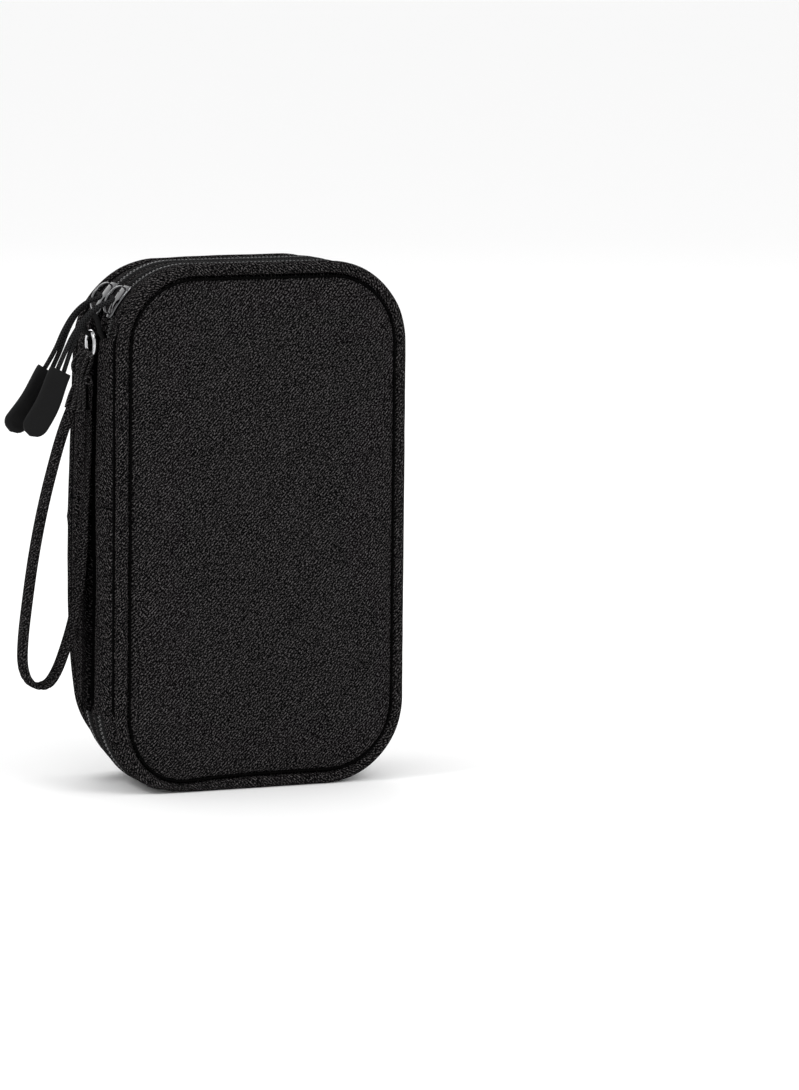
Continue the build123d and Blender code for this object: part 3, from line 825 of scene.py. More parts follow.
def thread_turns(name, centre, radii, steps, per_turn, rise, across, diameter, material):
    """A thread wound round a centre, in the plane of x and the across axis, while it rises a little."""
    line = []
    for k in range(steps + 1):
        angle = 2 * math.pi * k / per_turn
        here = np.array((centre[0] + radii[0] * math.cos(angle), centre[1], centre[2] + rise * k / per_turn))
        here[across] += radii[1] * math.sin(angle)
        line.append(here)
    thread = along_line(name, line, circle_section(diameter, 8))
    piece(thread, "wrist_strap", material, "strap")


thread_turns("neck_thread", (-59.0, NECK_Y - 2.0, NECK_Z - 0.9), (1.6, 2.2), 90, 30, 0.6, 1, 0.7, CORD)
thread_turns(
    "neck_knot_loop", (-58.3, NECK_Y - 7.0, NECK_Z + 0.3), (1.15, 1.25), 26, 24, 0.0, 2, 0.8, NECK_LIT_FABRIC,
)

RING_R, RING_WIRE_R = 4.2, 0.8
ring_centre = (ring_low + ring_high) / 2
ring_centre += np.array((1.1, sway(ring_centre[2]), -1.5))
ring_rows = []
for angle in np.linspace(0, 2 * math.pi, 36, endpoint=False):
    outward = np.array((0, math.cos(angle), math.sin(angle)))
    wire = oval(RING_WIRE_R, RING_WIRE_R, 12)
    ring_rows.append([ring_centre + outward * (RING_R + a) + np.array((b, 0, 0)) for a, b in wire])
ring = lofted("strap_wire_ring", ring_rows, wrap=True, close=True, lean=False)
piece(ring, "strap_ring", RING_GLINT_METAL, "slider_metal", "strap_ring")

anchor_line = smooth_line([
    (-53.4, -9.0, SPINE_TOP - 1.0), (-55.4, -8.8, 162.0), (-56.0, -7.6, 167.2),
    (-57.0, -4.2, 169.6), (-58.2, -1.2, 167.4), (-58.9, -1.0, 163.8),
    (-57.2, -1.2, 161.2), (-54.8, -1.4, 161.2), (-51.8, -1.6, 162.0),
])
anchor = along_line("anchor_loop", anchor_line, circle_section(1.8))
piece(anchor, "pouch_middle", DARK_THREAD, "cord", "strap_anchor")


# ------------------------------------------------------------------ the padded faces
def wavering(s, size, seed, pitch=17.0):
    """A small irregular change round the outline."""
    s = np.asarray(s, float)
    return size * np.array([
        noise.noise(Vector((
            math.cos(2 * math.pi * a / ROUND) * ROUND / (2 * math.pi * pitch),
            math.sin(2 * math.pi * a / ROUND) * ROUND / (2 * math.pi * pitch), seed,
        ))) for a in s
    ])


PANEL_PROFILE = (
    # inset, how far below the face
    (4.4, 6.2), (4.7, 4.9), (5.1, 3.6), (5.6, 2.6), (6.3, 1.75), (7.3, 1.15), (8.8, 0.78), (11.0, 0.55),
    (14.0, 0.38), (18.0, 0.25), (22.0, 0.16), (26.0, 0.1), (29.4, 0.06), (34.0, 0.03), (39.0, 0.01),
    (44.0, 0.0), (49.0, 0.0), (WIDTH / 2, 0.0),
)


PUFF_LIMIT = 0.7


def padded_face(leaf, side):
    """The leaf's crowned face, sunk at its seam inside the piping, then puffed by simulation."""
    s = round_steps(2.5)
    rings = []
    for inset, below in PANEL_PROFILE:
        waver = wavering(s, 0.25, 3.0 + side) * smooth((12 - inset) / 6)
        rings.append(sagged(around(s, inset + waver, side * (FACE_Y - below))))
    face = ring_loft(f"{leaf}_face", rings, flip=side > 0, lean=False)
    for loop, uv in zip(face.data.loops, face.data.uv_layers["UVMap"].data):
        co = face.data.vertices[loop.vertex_index].co
        uv.uv = (co.x, co.z)
    merged(face)
    puff(face)
    return thicken(face, 0.6)


def puff(face):
    """Inflates the face with the cloth simulation, its seam held, and keeps moves under PUFF_LIMIT."""
    rest = np.array([v.co for v in face.data.vertices])
    held = face.vertex_groups.new(name="seam")
    for vertex in face.data.vertices:
        depth = (FACE_Y * MM - abs(vertex.co.y)) / MM
        held.add([vertex.index], float(smooth((depth - 1.2) / 1.2)), "REPLACE")
    cloth = face.modifiers.new("Cloth", "CLOTH")
    settings = cloth.settings
    settings.quality = 4
    settings.mass = 0.3
    settings.tension_stiffness = 12
    settings.bending_stiffness = 2.0
    settings.shrink_min = -0.004
    settings.vertex_group_mass = "seam"
    settings.use_pressure = True
    settings.uniform_pressure_force = 1.2
    settings.effector_weights.gravity = 0
    for number in range(1, 16):
        bpy.context.scene.frame_set(number)
    evaluated = face.evaluated_get(bpy.context.evaluated_depsgraph_get())
    moved = np.array([v.co for v in evaluated.data.vertices])
    face.modifiers.clear()
    face.vertex_groups.clear()
    bpy.context.scene.frame_set(1)
    shift = moved - rest
    far = np.linalg.norm(shift, axis=1)
    limit = PUFF_LIMIT * MM
    shift *= (limit * np.tanh(far / limit) / np.maximum(far, 1e-9))[:, None]
    shift[:, 1] -= shift[:, 1][np.abs(rest[:, 0]) < 0.03].mean()
    face.data.vertices.foreach_set("co", (rest + shift).ravel())


ROLL_R = PIPING_R - 0.3
ROLL_INSET = 0.6  # how far the two upright runs of piping sit inside the walls


def piping_roll(leaf, side):
    """The covered cord: a soft tube with a join at the middle of the spine's side."""
    s = round_steps(2.0)
    join = 0.16 * np.exp(-(((s + 12.0) % ROUND - 12.0) / 1.6) ** 2)
    r = ROLL_R * (1 + wavering(s, 0.05, 9.0 + side, 9.0) + join)
    centre = ROLL_R + ROLL_INSET * np.abs(walk(s)[1][:, 0])
    rings = [sagged(around(s, centre - r * a, side * PIPING_Y + r * b)) for a, b in oval(1, 1, 18)]
    return ring_loft(f"{leaf}_piping_roll", rings, close=True, lean=False)


def groove_painted_shade(leaf, side, number, inset, y):
    """A near-black tube deep in the groove beside the piping, painted shade along the seam. The outer one
    follows the cover's edge along the spine."""
    s = round_steps(3.0)
    radius = (0.6, 0.42)[number]
    beside = in_spine(around(s, 0, 0)[:, 2]) * (walk(s)[0][:, 0] < 0) if number == 0 else 0.0
    rings = [
        sagged(around(s, inset - 0.7 * beside - a, side * (y - 1.2 * beside + b)))
        for a, b in oval(radius, radius, 8)
    ]
    return ring_loft(f"{leaf}_seam_{number}", rings, close=True, lean=False)


def wall_profile(side, teeth):
    """The outer wall, from behind the piping to the zipper."""
    root = side * (PIPING_Y - PIPING_R + 1.6)
    mouth = teeth + side * 2.7
    steps = (
        (0.0, 4.2), (0.08, 3.7), (0.16, 2.8), (0.24, 1.9), (0.33, 1.4), (0.46, 1.2), (0.64, 1.15),
        (0.8, 1.25), (0.92, 1.5), (1.0, 2.1),
    )
    points = [(inset, root + (mouth - root) * t) for t, inset in steps]
    return points + [(3.2, mouth + side * 0.1), (4.2, mouth + side * 0.5)]


def shell_wall(leaf, side, teeth):
    """The padded wall between the piping and the zipper."""
    s = round_steps(2.0)
    rings = []
    for k, (inset, y) in enumerate(wall_profile(side, teeth)):
        waver = wavering(s, 0.35, 20.0 + side + 0.05 * k, 24.0) * math.sin(math.pi * min(k / 9, 1))
        rings.append(around(s, inset + waver, y))
    return thicken(ring_loft(f"{leaf}_wall", rings, flip=side > 0), 0.7)


def zip_tape(name, teeth, inward):
    """The woven strip that carries a row of teeth. inward is the way from the teeth to its own leaf."""
    s = np.linspace(ZIP_START, ZIP_END, round((ZIP_END - ZIP_START) / 2.0) + 1)
    profile = ((1.75, 5.6), (1.15, 4.6), (0.95, 3.2), (1.0, 2.0), (1.35, 1.1), (1.9, 0.75), (2.6, 0.7))
    rows = [around(s, inset, teeth + inward * y) for inset, y in profile]
    return thicken(lofted(name, np.stack(rows, axis=1), flip=inward > 0), 0.35)


TOOTH_PITCH = 1.5


def zip_teeth(name, teeth, inward, end, shift):
    """A row of coil teeth, that reach just across the mouth to mesh with the other row. Past the slider
    the front zipper veers over the wall, and its end lies under the spine's cover."""
    s = np.arange(ZIP_START + shift, end, TOOTH_PITCH)
    veer = smooth((173.0 - around(s, 0, 0)[:, 2]) / 9.0) * (s > ROUND - MID_Z) * (teeth < 0)
    along = round_places(s, 1.25 - 1.0 * veer, teeth + inward * 0.75 - 4.2 * veer)
    places = [(origin, (depth, way, out)) for origin, (way, out, depth) in along]
    return copies(name, *capsule(2.6, 0.78, 1.05), places)


def stitch_round(name, inset, y):
    """Stitches round the outline, lying on a surface that faces along y."""
    return copies(name, *capsule(2.1, 0.42, 0.36), round_places(round_steps(3.1), inset, y))


def rim_binding(leaf, side, teeth):
    """The light tape folded over the seam inside the leaf's mouth."""
    s = round_steps(2.5)
    y = teeth + side * 1.6
    profile = (
        (4.0, 0.9), (3.7, 0.2), (3.9, -0.5), (4.6, -0.75), (6.4, -0.6), (8.0, -0.6), (8.9, -0.35), (9.2, 0.1),
        (8.9, 0.5), (8.0, 0.65), (6.0, 0.7),
    )
    rings = []
    for inset, dy in profile:
        waver = wavering(s, 0.35, 40.0 + side, 12.0) * smooth((inset - 4) / 4)
        rings.append(around(s, inset + waver, y + side * dy))
    rim = ring_loft(f"{leaf}_rim_tape", rings, close=True, flip=side > 0)
    return rim, stitch_round(f"{leaf}_rim_stitches", 5.4, y - side * 0.68)


def lining_tray(leaf, side, teeth):
    """The satin inside a leaf: a wall with soft puckers and a floor."""
    s = round_steps(2.5)
    floor = side * (PIPING_Y - PIPING_R - 0.9)
    mouth = teeth + side * 2.6
    profile = [(4.7, mouth), (4.5, mouth + side * 2.0)]
    profile += [(4.5 + 0.25 * k, mouth + (floor - mouth) * t) for k, t in ((0, 0.45), (1, 0.65), (3, 0.82))]
    profile += [(6.4, floor - side * 0.8), (8.2, floor - side * 0.15)]
    profile += [(inset, floor) for inset in (11.0, 18.0, 25.0, 32.0, 40.0, 48.0, WIDTH / 2)]
    rings = []
    for k, (inset, y) in enumerate(profile):
        pucker = wavering(s, 0.7, 60.0 + side + 0.3 * k, 5.0) * smooth((12 - inset) / 6) * smooth(k / 3)
        wave = wavering(s, 0.5, 70.0 + side + 0.2 * k, 14.0) * smooth((inset - 9) / 5) * (inset < 50)
        rings.append(around(s, inset + np.abs(pucker), y - side * np.abs(wave)))
    return thicken(merged(ring_loft(f"{leaf}_satin", rings, flip=side < 0)), 0.3, 0.0)


TEETH_END = {"front": FRONT_ZIP_END, "back": ZIP_END}


def zipper_half(prefix, body, leaf, teeth, inward, shift):
    """One side of a leaf's zipper: its tape and its row of teeth."""
    piece(zip_tape(f"{prefix}_tape", teeth, inward), body, TAPE, "zip_tape", f"{prefix}_zip_tape")
    row = zip_teeth(f"{prefix}_coil", teeth, inward, TEETH_END[leaf], shift)
    piece(row, body, TEETH, "zip_teeth", f"{prefix}_zip_teeth")


LEAVES = (("front", -1, FRONT_TEETH), ("back", 1, BACK_TEETH))
for leaf, side, teeth in LEAVES:
    body = f"{leaf}_leaf"
    face = piece(
        padded_face(leaf, side), body, FABRIC, "outer_fabric", f"{leaf}_panel", f"{leaf}_foam_board",
    )
    piece(piping_roll(leaf, side), body, EDGE_FABRIC, "piping_fabric", f"{leaf}_piping")
    for number, (inset, y) in enumerate(((1.75, PIPING_Y - ROLL_R - 0.25), (5.3, PIPING_Y + ROLL_R - 0.6))):
        piece(groove_painted_shade(leaf, side, number, inset, y), body, PAINTED_SHADE, "piping_fabric")
    wall = piece(shell_wall(leaf, side, teeth), body, EDGE_FABRIC, "outer_fabric", f"{leaf}_side_wall")
    zipper_half(leaf, body, leaf, teeth, side, 0.0)
    rim, rim_stitches = rim_binding(leaf, side, teeth)
    piece(rim, body, BINDING, "binding", f"{leaf}_rim_binding")
    piece(rim_stitches, body, THREAD, "binding")
    piece(lining_tray(leaf, side, teeth), body, LINING, "lining", f"{leaf}_lining")


# ------------------------------------------------------------------ the middle leaf
def middle_band():
    """The padded edge between the zippers, with the black border that frames each lining."""
    s = round_steps(2.0)
    front, back = FRONT_TEETH + 1.7, BACK_TEETH - 1.7
    mid = (front + back) / 2
    half = (back - front) / 2
    profile = (
        (13.6, -0.93), (12.6, -1.0), (9.0, -1.06), (5.4, -1.0), (4.4, -0.92), (3.2, -1.0), (2.3, -0.86),
        (1.75, -0.62), (1.45, -0.3), (1.35, 0.0), (1.45, 0.3), (1.75, 0.62), (2.3, 0.86), (3.2, 1.0),
        (4.4, 0.92), (5.4, 1.0), (9.0, 1.06), (12.6, 1.0), (13.6, 0.93),
    )
    z = around(s, 2.0, 0.0)[:, 2]
    beside = in_spine(z) * (walk(s)[0][:, 0] < 0) * (np.abs(walk(s)[1][:, 0] + 1) < 0.6)
    rings = []
    for k, (inset, t) in enumerate(profile):
        sunk = np.maximum(0.0, 6.6 - inset) * beside
        waver = wavering(s, 0.25, 80.0 + 0.1 * k, 15.0) * (inset < 13)
        rings.append(around(s, inset + sunk + waver, mid + half * t))
    return thicken(ring_loft("middle_edge", rings), 0.5)


band_piece = piece(
    middle_band(), "pouch_middle", EDGE_FABRIC, "outer_fabric",
    "middle_frame", "middle_front_border", "middle_back_border", "middle_foam_board",
)

for face, side, teeth in LEAVES:
    inward = -side
    zipper_half(f"middle_{face}", "pouch_middle", face, teeth, inward, TOOTH_PITCH / 2)
    surface_y = teeth + inward * 2.6
    s = round_steps(3.0)
    rings = []
    for inset in (12.4, 13.4, 16.0, 20.0, 24.0, 28.0, 32.0, 37.0, 42.0, 48.0, WIDTH / 2):
        wave = wavering(s, 0.45 * (inset < 50), 90.0 + inset * 0.13 + inward, 13.0)
        rings.append(around(s, inset, surface_y - inward * np.abs(wave)))
    satin_face = thicken(merged(ring_loft(f"middle_{face}_satin", rings, flip=inward < 0)), 0.3, 0.0)
    piece(satin_face, "pouch_middle", LINING, "lining", f"middle_{face}_lining")
    edge = stitch_round(f"middle_{face}_stitches", 12.7, teeth + inward * 1.62)
    piece(edge, "pouch_middle", DARK_THREAD, "outer_fabric")


# ------------------------------------------------------------------ the spine
def fold_shift(z):
    """How much wider the front leaf's cover is than at its foot: the front fold stands upright."""
    return 1.8 + 3.4 * smooth((z - 60.0) / 80.0) - 1.2 * smooth((z - 152.0) / 8.0)


def spine_x(z, inset):
    """Where the outline's side by the spine, moved inwards by inset, lies at height z."""
    past = max(0.0, abs(z - MID_Z) - HALF_Z)
    angle = math.asin(min(0.98, past / (CORNER - inset)))
    return -HALF_X - (CORNER - inset) * math.cos(angle)


def spine_fold(name, profile, top, bottom, seed):
    """A strip of fabric up the spine, tucked in at its two ends, with a slight ripple."""
    between = np.linspace(bottom + 3, top - 3, 52)
    z_steps = (bottom - 0.4, bottom, bottom + 0.8, *between, top - 0.8, top, top + 0.4)
    rows = []
    for z in z_steps:
        tuck = 0.8 * (1 - smooth((min(z - bottom, top - z) + 0.4) / 1.2))
        ripple = 0.3 * noise.noise(Vector((z / 14, seed, 3.3)))
        row = []
        for y, inset in profile:
            y += fold_shift(z) * smooth((y + 17.0) / 7.0) * min(1.0, max(0.0, (6.4 - y) / 8.2))
            x = spine_x(z, inset) + tuck + ripple * smooth((inset - 0.3) / 2)
            row.append((x, y + ripple, z))
        rows.append(row)
    return thicken(lofted(name, rows, flip=True), 0.7)


# Across each strip of the spine: depth y, and how far it lies inside the outline.
FRONT_COVER = (
    (-19.8, 4.0), (-19.4, 3.0), (-18.9, 2.0), (-18.3, 1.3), (-17.6, 0.95), (-16.6, 0.75), (-15.0, 0.62),
    (-13.2, 0.55), (-10.8, 0.6), (-9.3, 0.8), (-8.4, 1.3), (-7.9, 2.2), (-8.0, 3.8),
)
FRONT_GROOVE = (
    (-8.7, 3.4), (-7.8, 4.6), (FRONT_FOLD, 5.5), (-5.0, 5.9), (-3.2, 5.6), (-2.2, 4.6), (-2.0, 3.0),
    (-1.9, 2.0), (-1.4, 1.5),
)
RIDGE = (
    (-1.2, 2.2), (-1.5, 1.5), (-1.1, 0.9), (-0.4, 0.4), (0.8, 0.2), (2.4, 0.15), (4.2, 0.3), (5.4, 0.6),
    (6.2, 1.2), (6.6, 2.2), (6.6, 3.8),
)
BACK_GROOVE = (
    (6.2, 3.2), (7.0, 4.1), (BACK_FOLD, 4.6), (9.8, 4.1), (10.4, 3.0), (10.9, 1.9), (11.8, 1.3),
)
BACK_COVER = (
    (11.8, 2.2), (11.6, 1.4), (12.2, 0.95), (13.4, 0.65), (15.0, 0.6), (16.6, 0.7), (17.6, 0.95), (18.3, 1.3),
    (18.9, 2.0), (19.4, 3.0), (19.8, 4.0),
)


def bend(obj):
    """Bakes the piece's placement into its mesh."""
    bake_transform(obj)


front_cover = spine_fold("spine_front_cover", FRONT_COVER, SPINE_TOP, SPINE_LOW, -1)
piece(front_cover, "front_leaf", EDGE_FABRIC, "outer_fabric")
# The spine's two grooves are near-black: painted shade deep in the folds, and partly the black tape inside
# them.
front_groove = spine_fold("spine_front_groove", FRONT_GROOVE, RIDGE_HIGH[2], SPINE_LOW - 0.6, -2)
piece(front_groove, None, PAINTED_SHADE, "outer_fabric")
bend(front_groove)
ridge = spine_fold("spine_middle_ridge", RIDGE, RIDGE_HIGH[2] - 1.5, SPINE_LOW, 2)
piece(ridge, "pouch_middle", RIDGE_SHADE_FABRIC, "outer_fabric", "spine_ridge")
back_groove = spine_fold("spine_back_groove", BACK_GROOVE, RIDGE_HIGH[2], SPINE_LOW - 0.6, 3)
piece(back_groove, None, PAINTED_SHADE, "outer_fabric")
bend(back_groove)
back_cover = spine_fold("spine_back_cover", BACK_COVER, SPINE_TOP, SPINE_LOW, 1)
piece(back_cover, "back_leaf", EDGE_FABRIC, "outer_fabric")


def gusset(leaf, near, far):
    """The lining strip inside a fold, with soft vertical creases. near and far are (inset, y) pairs."""
    rows = []
    for z in np.linspace(SPINE_LOW + 1, SPINE_TOP, 56):
        row = []
        for t in np.linspace(0, 1, 9):
            y = near[1] + (far[1] - near[1]) * t
            inset = near[0] + (far[0] - near[0]) * t + 1.6 * math.sin(math.pi * t)
            crease = 0.3 * noise.noise(Vector((z / 9, t * 3, 7.7)))
            row.append((spine_x(z, inset) + crease, y, z))
        rows.append(row)
    return thicken(lofted(f"{leaf}_fold_lining", rows), 0.3, 0.0)


for leaf, near, far in (
    ("front", (7.0, FRONT_TEETH + 1.9), (4.8, FRONT_TEETH - 1.4)),
    ("back", (7.0, BACK_TEETH - 1.7), (4.8, BACK_TEETH + 1.4)),
):
    strip = gusset(leaf, near, far)
    piece(strip, None, LINING, "lining", f"{leaf}_gusset")
    bend(strip)

# ------------------------------------------------------------------ sliders
WING_R = CORNER - 0.45  # the wings' underside
WING_REACH = 12.5  # degrees to each side of the slider's middle
BRIDGE_THICK = 0.8
BRIDGE_LIFT = 3.7


def slider_point(turn, r, y, teeth):
    """A point over the zipper's corner: turn in degrees from the slider's middle, towards the top."""
    angle = math.radians(SLIDER_TURN - turn)
    return (ARC_X + r * math.cos(angle), teeth + y, ARC_Z + r * math.sin(angle))


def slider_wing(name, teeth):
    """The slider's wing: a shield-shaped plate with rolled edges."""
    rows = []
    for turn in np.linspace(-WING_REACH, WING_REACH, 21):
        t = (turn / WING_REACH + 1) / 2
        half = 2.4 + 1.5 * smooth(t * 1.2) - 0.8 * smooth((t - 0.86) / 0.14)
        half *= 1 - 0.35 * smooth((0.1 - t) / 0.1)
        crown = 0.1 * math.sin(math.pi * t)
        row = []
        for a, r in (
            (-1.0, -0.7), (-1.04, 0.1), (-1.0, 0.6), (-0.85, 0.85), (-0.3, 0.95 + crown),
            (0.3, 0.95 + crown), (0.85, 0.85), (1.0, 0.6), (1.04, 0.1), (1.0, -0.7),
            (0.86, -0.6), (0.8, 0.05), (-0.8, 0.05), (-0.86, -0.6),
        ):
            row.append(slider_point(turn, WING_R + max(r, 0.0) + min(r, 0.0) * 0.4, a * half, teeth))
        rows.append(row)
    wing = cap_ends(lofted(name, rows, close=True))
    return applied(wing, ("BEVEL", {"width": 0.12 * MM, "segments": 2, "limit_method": "ANGLE"}))


def slider_bridge(name, teeth):
    """The arched loop that holds the pull's cord."""
    rows = []
    for t in np.linspace(0, 1, 25):
        turn = -10.5 + 21.0 * t
        lift = BRIDGE_LIFT * (math.sin(math.pi * t) ** 0.35 if 0 < t < 1 else 0)
        half = 0.85 - 0.15 * math.sin(math.pi * t)
        slope = math.cos(math.pi * t)
        rows.append([
            slider_point(turn - b * slope * 1.2, WING_R + 0.6 + lift + b * (1 - 0.6 * abs(slope)), a, teeth)
            for a, b in oval(half, BRIDGE_THICK / 2, 12, 0.6)
        ])
    return cap_ends(lofted(name, rows, close=True))


for leaf, _, teeth in LEAVES:
    body = f"{leaf}_slider"
    piece(slider_wing(f"{leaf}_slider_body", teeth), body, METAL, "slider_metal", f"{leaf}_slider")
    piece(slider_bridge(f"{leaf}_slider_bridge", teeth), body, METAL, "slider_metal")

# ------------------------------------------------------------------ pockets
NET_PITCH = (2.1, 2.7)
NET_STRAND = 0.26
POCKET_EDGE = 5.9


def inside_outline(x, z, inset):
    """True inside the outline moved inwards."""
    dx = max(0.0, abs(x) - HALF_X)
    dz = max(0.0, abs(z - MID_Z) - HALF_Z)
    return math.hypot(dx, dz) <= CORNER - inset


def net_pocket(name, inside, depth_at, box):
    """Diamond netting over the region that inside() accepts. depth_at(x, z) gives its y."""
    (x0, z0), (x1, z1) = box
    px, pz = NET_PITCH
    points, faces, index = [], [], {}

    def corner(i, j):
        if (i, j) not in index:
            x, z = x0 + i * px / 2, z0 + j * pz / 2
            index[i, j] = len(points)
            points.append((x, depth_at(x, z), z))
        return index[i, j]

    for j in range(1, int((z1 - z0) / pz * 2)):
        for i in range(1 + j % 2, int((x1 - x0) / px * 2), 2):
            if inside(x0 + i * px / 2, z0 + j * pz / 2):
                faces.append([corner(i - 1, j), corner(i, j - 1), corner(i + 1, j), corner(i, j + 1)])
    uvs = [(points[v][0], points[v][2]) for face in faces for v in face]
    net = make_mesh(name, leaned(points), faces, uvs)
    with edited(net) as mesh:
        cells = list(mesh.faces)
        bmesh.ops.inset_individual(mesh, faces=cells, thickness=NET_STRAND * MM)
        bmesh.ops.delete(mesh, geom=cells, context="FACES")
    return thicken(net, 0.3, 0.0)


def binding(name, body, line, width, thick, facing, *nodes):
    """A folded tape along a line, with two rows of stitches on the side that faces along y."""
    line = np.asarray(line, float)
    gone = distances(line)
    even = np.linspace(0, gone[-1], max(8, int(gone[-1] / 2.5)))
    line = np.stack([np.interp(even, gone, line[:, k]) for k in range(3)], axis=1)
    section = oval(width / 2, thick / 2, 16, 0.6, 0.8)
    across = (line[1] - line[0])[[2, 1, 0]] * (1, 0, -1)
    tape = along_line(name, leaned(line), lambda t: section, across)
    piece(tape, body, BINDING, "binding", *nodes)
    side = np.cross(directions(line), (0, 1, 0))
    for number, edge in enumerate((-1, 1)):
        seam = line + side * edge * (width / 2 - 0.8) + (0, facing * thick * 0.5, 0)
        stitches = copies(f"{name}_stitches_{number}", *capsule(1.9, 0.36, 0.3), line_places(seam, 2.8))
        piece(stitches, body, THREAD, "binding")


def level_line(depth, proud, z, ends, count, arch=0.0, slope=0.0):
    """A line across a net at height z, proud of it in y, that arches or climbs."""
    return [
        (x, depth(x, z) + proud, z + arch * math.sin((x + 50) / 100 * math.pi) + slope * x)
        for x in np.linspace(*ends, count)
    ]


def upright_line(depth, proud, x_at, aside, ends, count):
    """A line up a net beside the place that x_at(z) gives, proud of it in y."""
    return [(x_at(z) + aside, depth(x_at(z), z) + proud, z) for z in np.linspace(*ends, count)]


def swell(x, z, centre, reach, size, seed):
    """How far a pocket's front bulges, with small folds."""
    far = math.hypot((x - centre[0]) / reach[0], (z - centre[1]) / reach[1])
    fold = noise.noise(Vector((x / 13, z / 17, seed)))
    return float(size * smooth(1.15 - far) + 0.35 * fold)


# The front leaf's pocket: a net with a top binding, a slanting side binding and a cross strip.
FRONT_NET_Y = node_box("front_pocket_mesh")[0][1] + 0.4
FRONT_TOP = node_box("front_pocket_top_hem")[0][2]
SIDE_LOW_X, SIDE_TOP_X = -30.0, -24.0
CROSS_Z = (node_box("front_pocket_cross_strip")[0][2] + node_box("front_pocket_cross_strip")[1][2]) / 2


def side_x(z):
    """The slanting side binding of the front pocket."""
    return SIDE_LOW_X + (SIDE_TOP_X - SIDE_LOW_X) * (z - 10) / (FRONT_TOP - 10)


def front_depth(x, z):
    """The front net's y."""
    return FRONT_NET_Y + swell(x, z, (14, 70), (48, 75), 1.3, 1.5)


front_net = net_pocket(
    "front_net", lambda x, z: x > side_x(z) - 0.5 and z < FRONT_TOP + 1 and inside_outline(x, z, POCKET_EDGE),
    front_depth, ((-34, 4), (51, FRONT_TOP + 4)),
)
piece(front_net, "front_leaf", NET, "mesh", "front_pocket_mesh")


rim_x = CORNER - 6.0 + HALF_X  # where the bindings meet the rim
top_line = level_line(front_depth, 0.5, FRONT_TOP + 3.6, (-rim_x, rim_x), 40, arch=0.9)
binding("front_net_top", "front_leaf", top_line, 7.4, 0.9, 1, "front_pocket_top_hem")
side_line = upright_line(front_depth, 0.4, side_x, -1.4, (8.6, FRONT_TOP), 40)
binding("front_net_side", "front_leaf", side_line, 4.2, 0.9, 1, "front_pocket_side_hem")
cross_line = level_line(front_depth, 0.7, CROSS_Z, (-28, rim_x - 0.2), 30, slope=0.05)
binding("front_net_cross", "front_leaf", cross_line, 4.6, 0.8, 1, "front_pocket_cross_strip")

# The back leaf's pocket: one large net under a wide binding.
BACK_NET_Y = node_box("back_pocket_mesh")[0][1] + 0.2
BACK_TOP = node_box("back_pocket_hem")[0][2]


def back_depth(x, z):
    """The back net's y."""
    return BACK_NET_Y - swell(x, z, (0, 62), (56, 75), 2.0, 4.5)


back_net = net_pocket(
    "back_net", lambda x, z: z < BACK_TOP + 1 and inside_outline(x, z, POCKET_EDGE),
    back_depth, ((-51, 4), (51, BACK_TOP + 4)),
)
piece(back_net, "back_leaf", NET, "mesh", "back_pocket_mesh")
back_line = level_line(back_depth, -0.4, BACK_TOP + 3, (-rim_x, rim_x), 40, arch=-1.2)
binding("back_net_top", "back_leaf", back_line, 6.4, 0.9, -1, "back_pocket_hem")

# Three pockets on the middle leaf's front, open towards the far edge. The highest has a straight mouth.
MIDDLE_NET_Y = node_box("middle_pocket_centre")[0][1] - 0.2
DIVIDER_LOW, DIVIDER_HIGH = node_box("middle_pocket_dividers")
DIVIDERS = (DIVIDER_LOW[2] + 2, DIVIDER_HIGH[2] - 2)
MIDDLE_EDGE = 12.6


def low_mouth(z):
    """The lowest pocket's curved mouth."""
    t = (z - 13) / (DIVIDERS[0] - 13)
    return 26.0 - 34.0 * smooth(t) - 3.0 * math.sin(math.pi * t)


def centre_mouth(z):
    """The centre pocket's slanting mouth."""
    t = (z - DIVIDERS[0]) / (DIVIDERS[1] - DIVIDERS[0])
    return 14.0 - 22.0 * t + 2.5 * math.sin(2 * math.pi * t)


def middle_depth(x, z):
    """The middle nets' y."""
    return MIDDLE_NET_Y - 0.5 - swell(x, z, (-18, 94), (50, 90), 0.7, 6.5)


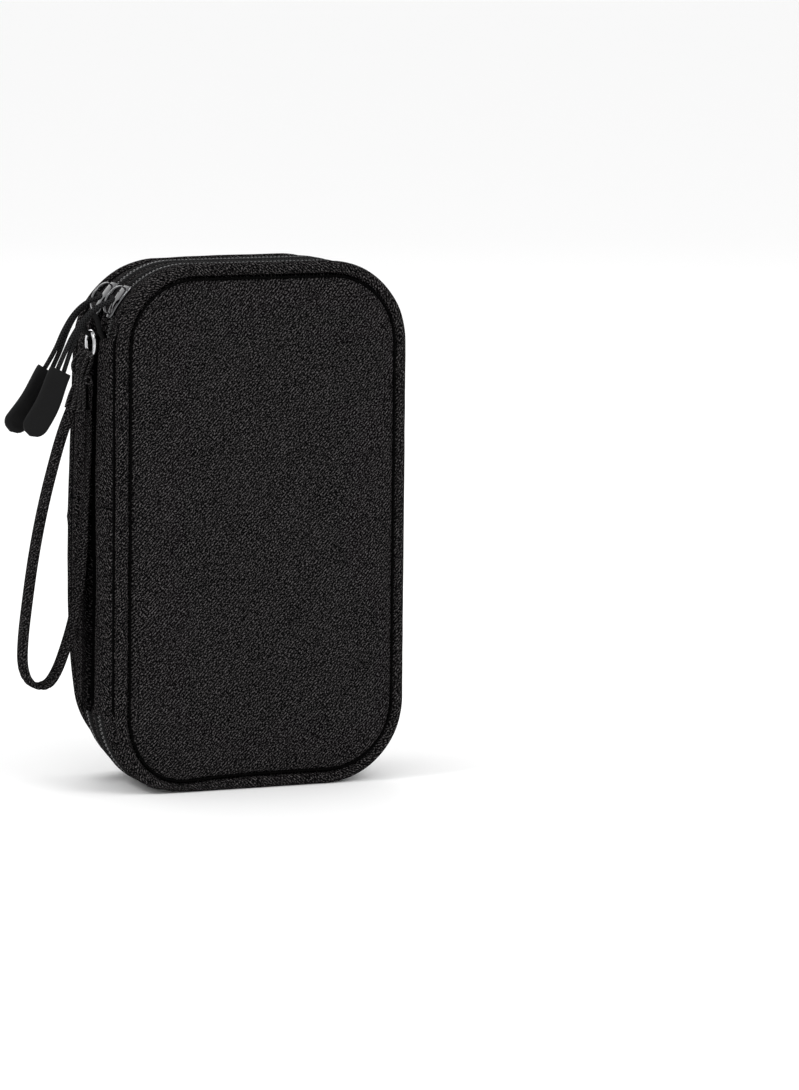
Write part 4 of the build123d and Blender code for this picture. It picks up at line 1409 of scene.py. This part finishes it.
for name, z0, z1, mouth in (
    ("low", 10.0, DIVIDERS[0], low_mouth),
    ("centre", DIVIDERS[0], DIVIDERS[1], centre_mouth),
    ("high", DIVIDERS[1], 178.0, lambda z: 12.0),
):
    net = net_pocket(
        f"middle_net_{name}",
        lambda x, z, a=z0, b=z1, m=mouth: a < z < b and x < m(z) and inside_outline(x, z, MIDDLE_EDGE),
        middle_depth, ((-44, z0 - 3), (44, z1 + 3)),
    )
    piece(net, "pouch_middle", NET, "mesh", f"middle_pocket_{name}")
    ends = (max(z0, 14.5), min(z1, 172.5))
    mouth_line = upright_line(middle_depth, -0.3, mouth, 1.2, ends, 24)
    nodes = ("middle_pocket_hems",) if name == "centre" else ()
    binding(f"middle_mouth_{name}", "pouch_middle", mouth_line, 3.2, 0.7, -1, *nodes)

for number, z in enumerate(DIVIDERS):
    divider_line = level_line(middle_depth, -0.4, z, (-41.6, 41.6), 30, slope=0.06)
    nodes = ("middle_pocket_dividers",) if number == 0 else ()
    binding(f"middle_divider_{number}", "pouch_middle", divider_line, 4.2, 0.8, -1, *nodes)


# ------------------------------------------------------------------ floor and light
def studio():
    """A pale floor and soft lights."""
    floor_mesh = bpy.data.meshes.new("floor")
    corners = [(x, y, 0) for x, y in ((-60, -60), (60, -60), (60, 60), (-60, 60))]
    floor_mesh.from_pydata(corners, [], [(0, 1, 2, 3)])
    floor = bpy.data.objects.new("floor", floor_mesh)
    bpy.context.scene.collection.objects.link(floor)
    material, _, shader = new_material("pale_floor")
    shader.inputs["Base Color"].default_value = (0.94, 0.94, 0.94, 1)
    shader.inputs["Roughness"].default_value = 0.9
    floor_mesh.materials.append(material)
    world = bpy.data.worlds.new("studio")
    world.use_nodes = True
    world.node_tree.nodes["Background"].inputs["Color"].default_value = (1, 1, 1, 1)
    world.node_tree.nodes["Background"].inputs["Strength"].default_value = 1.0
    bpy.context.scene.world = world
    for name, place, size, power in (
        ("key", (0.7, -1.2, 1.5), 0.9, 9.0),
        ("rim", (-0.9, -0.2, 1.1), 0.3, 4.0),
        ("back", (0.4, 1.4, 1.2), 0.9, 4.0),
    ):
        light = bpy.data.lights.new(name, "AREA")
        light.size = size
        light.energy = power
        lamp = bpy.data.objects.new(name, light)
        lamp.location = place
        lamp.rotation_euler = (Vector((0, 0, 0.09)) - Vector(place)).to_track_quat("-Z", "Y").to_euler()
        bpy.context.scene.collection.objects.link(lamp)
    bpy.context.scene.view_settings.view_transform = "Standard"


studio()
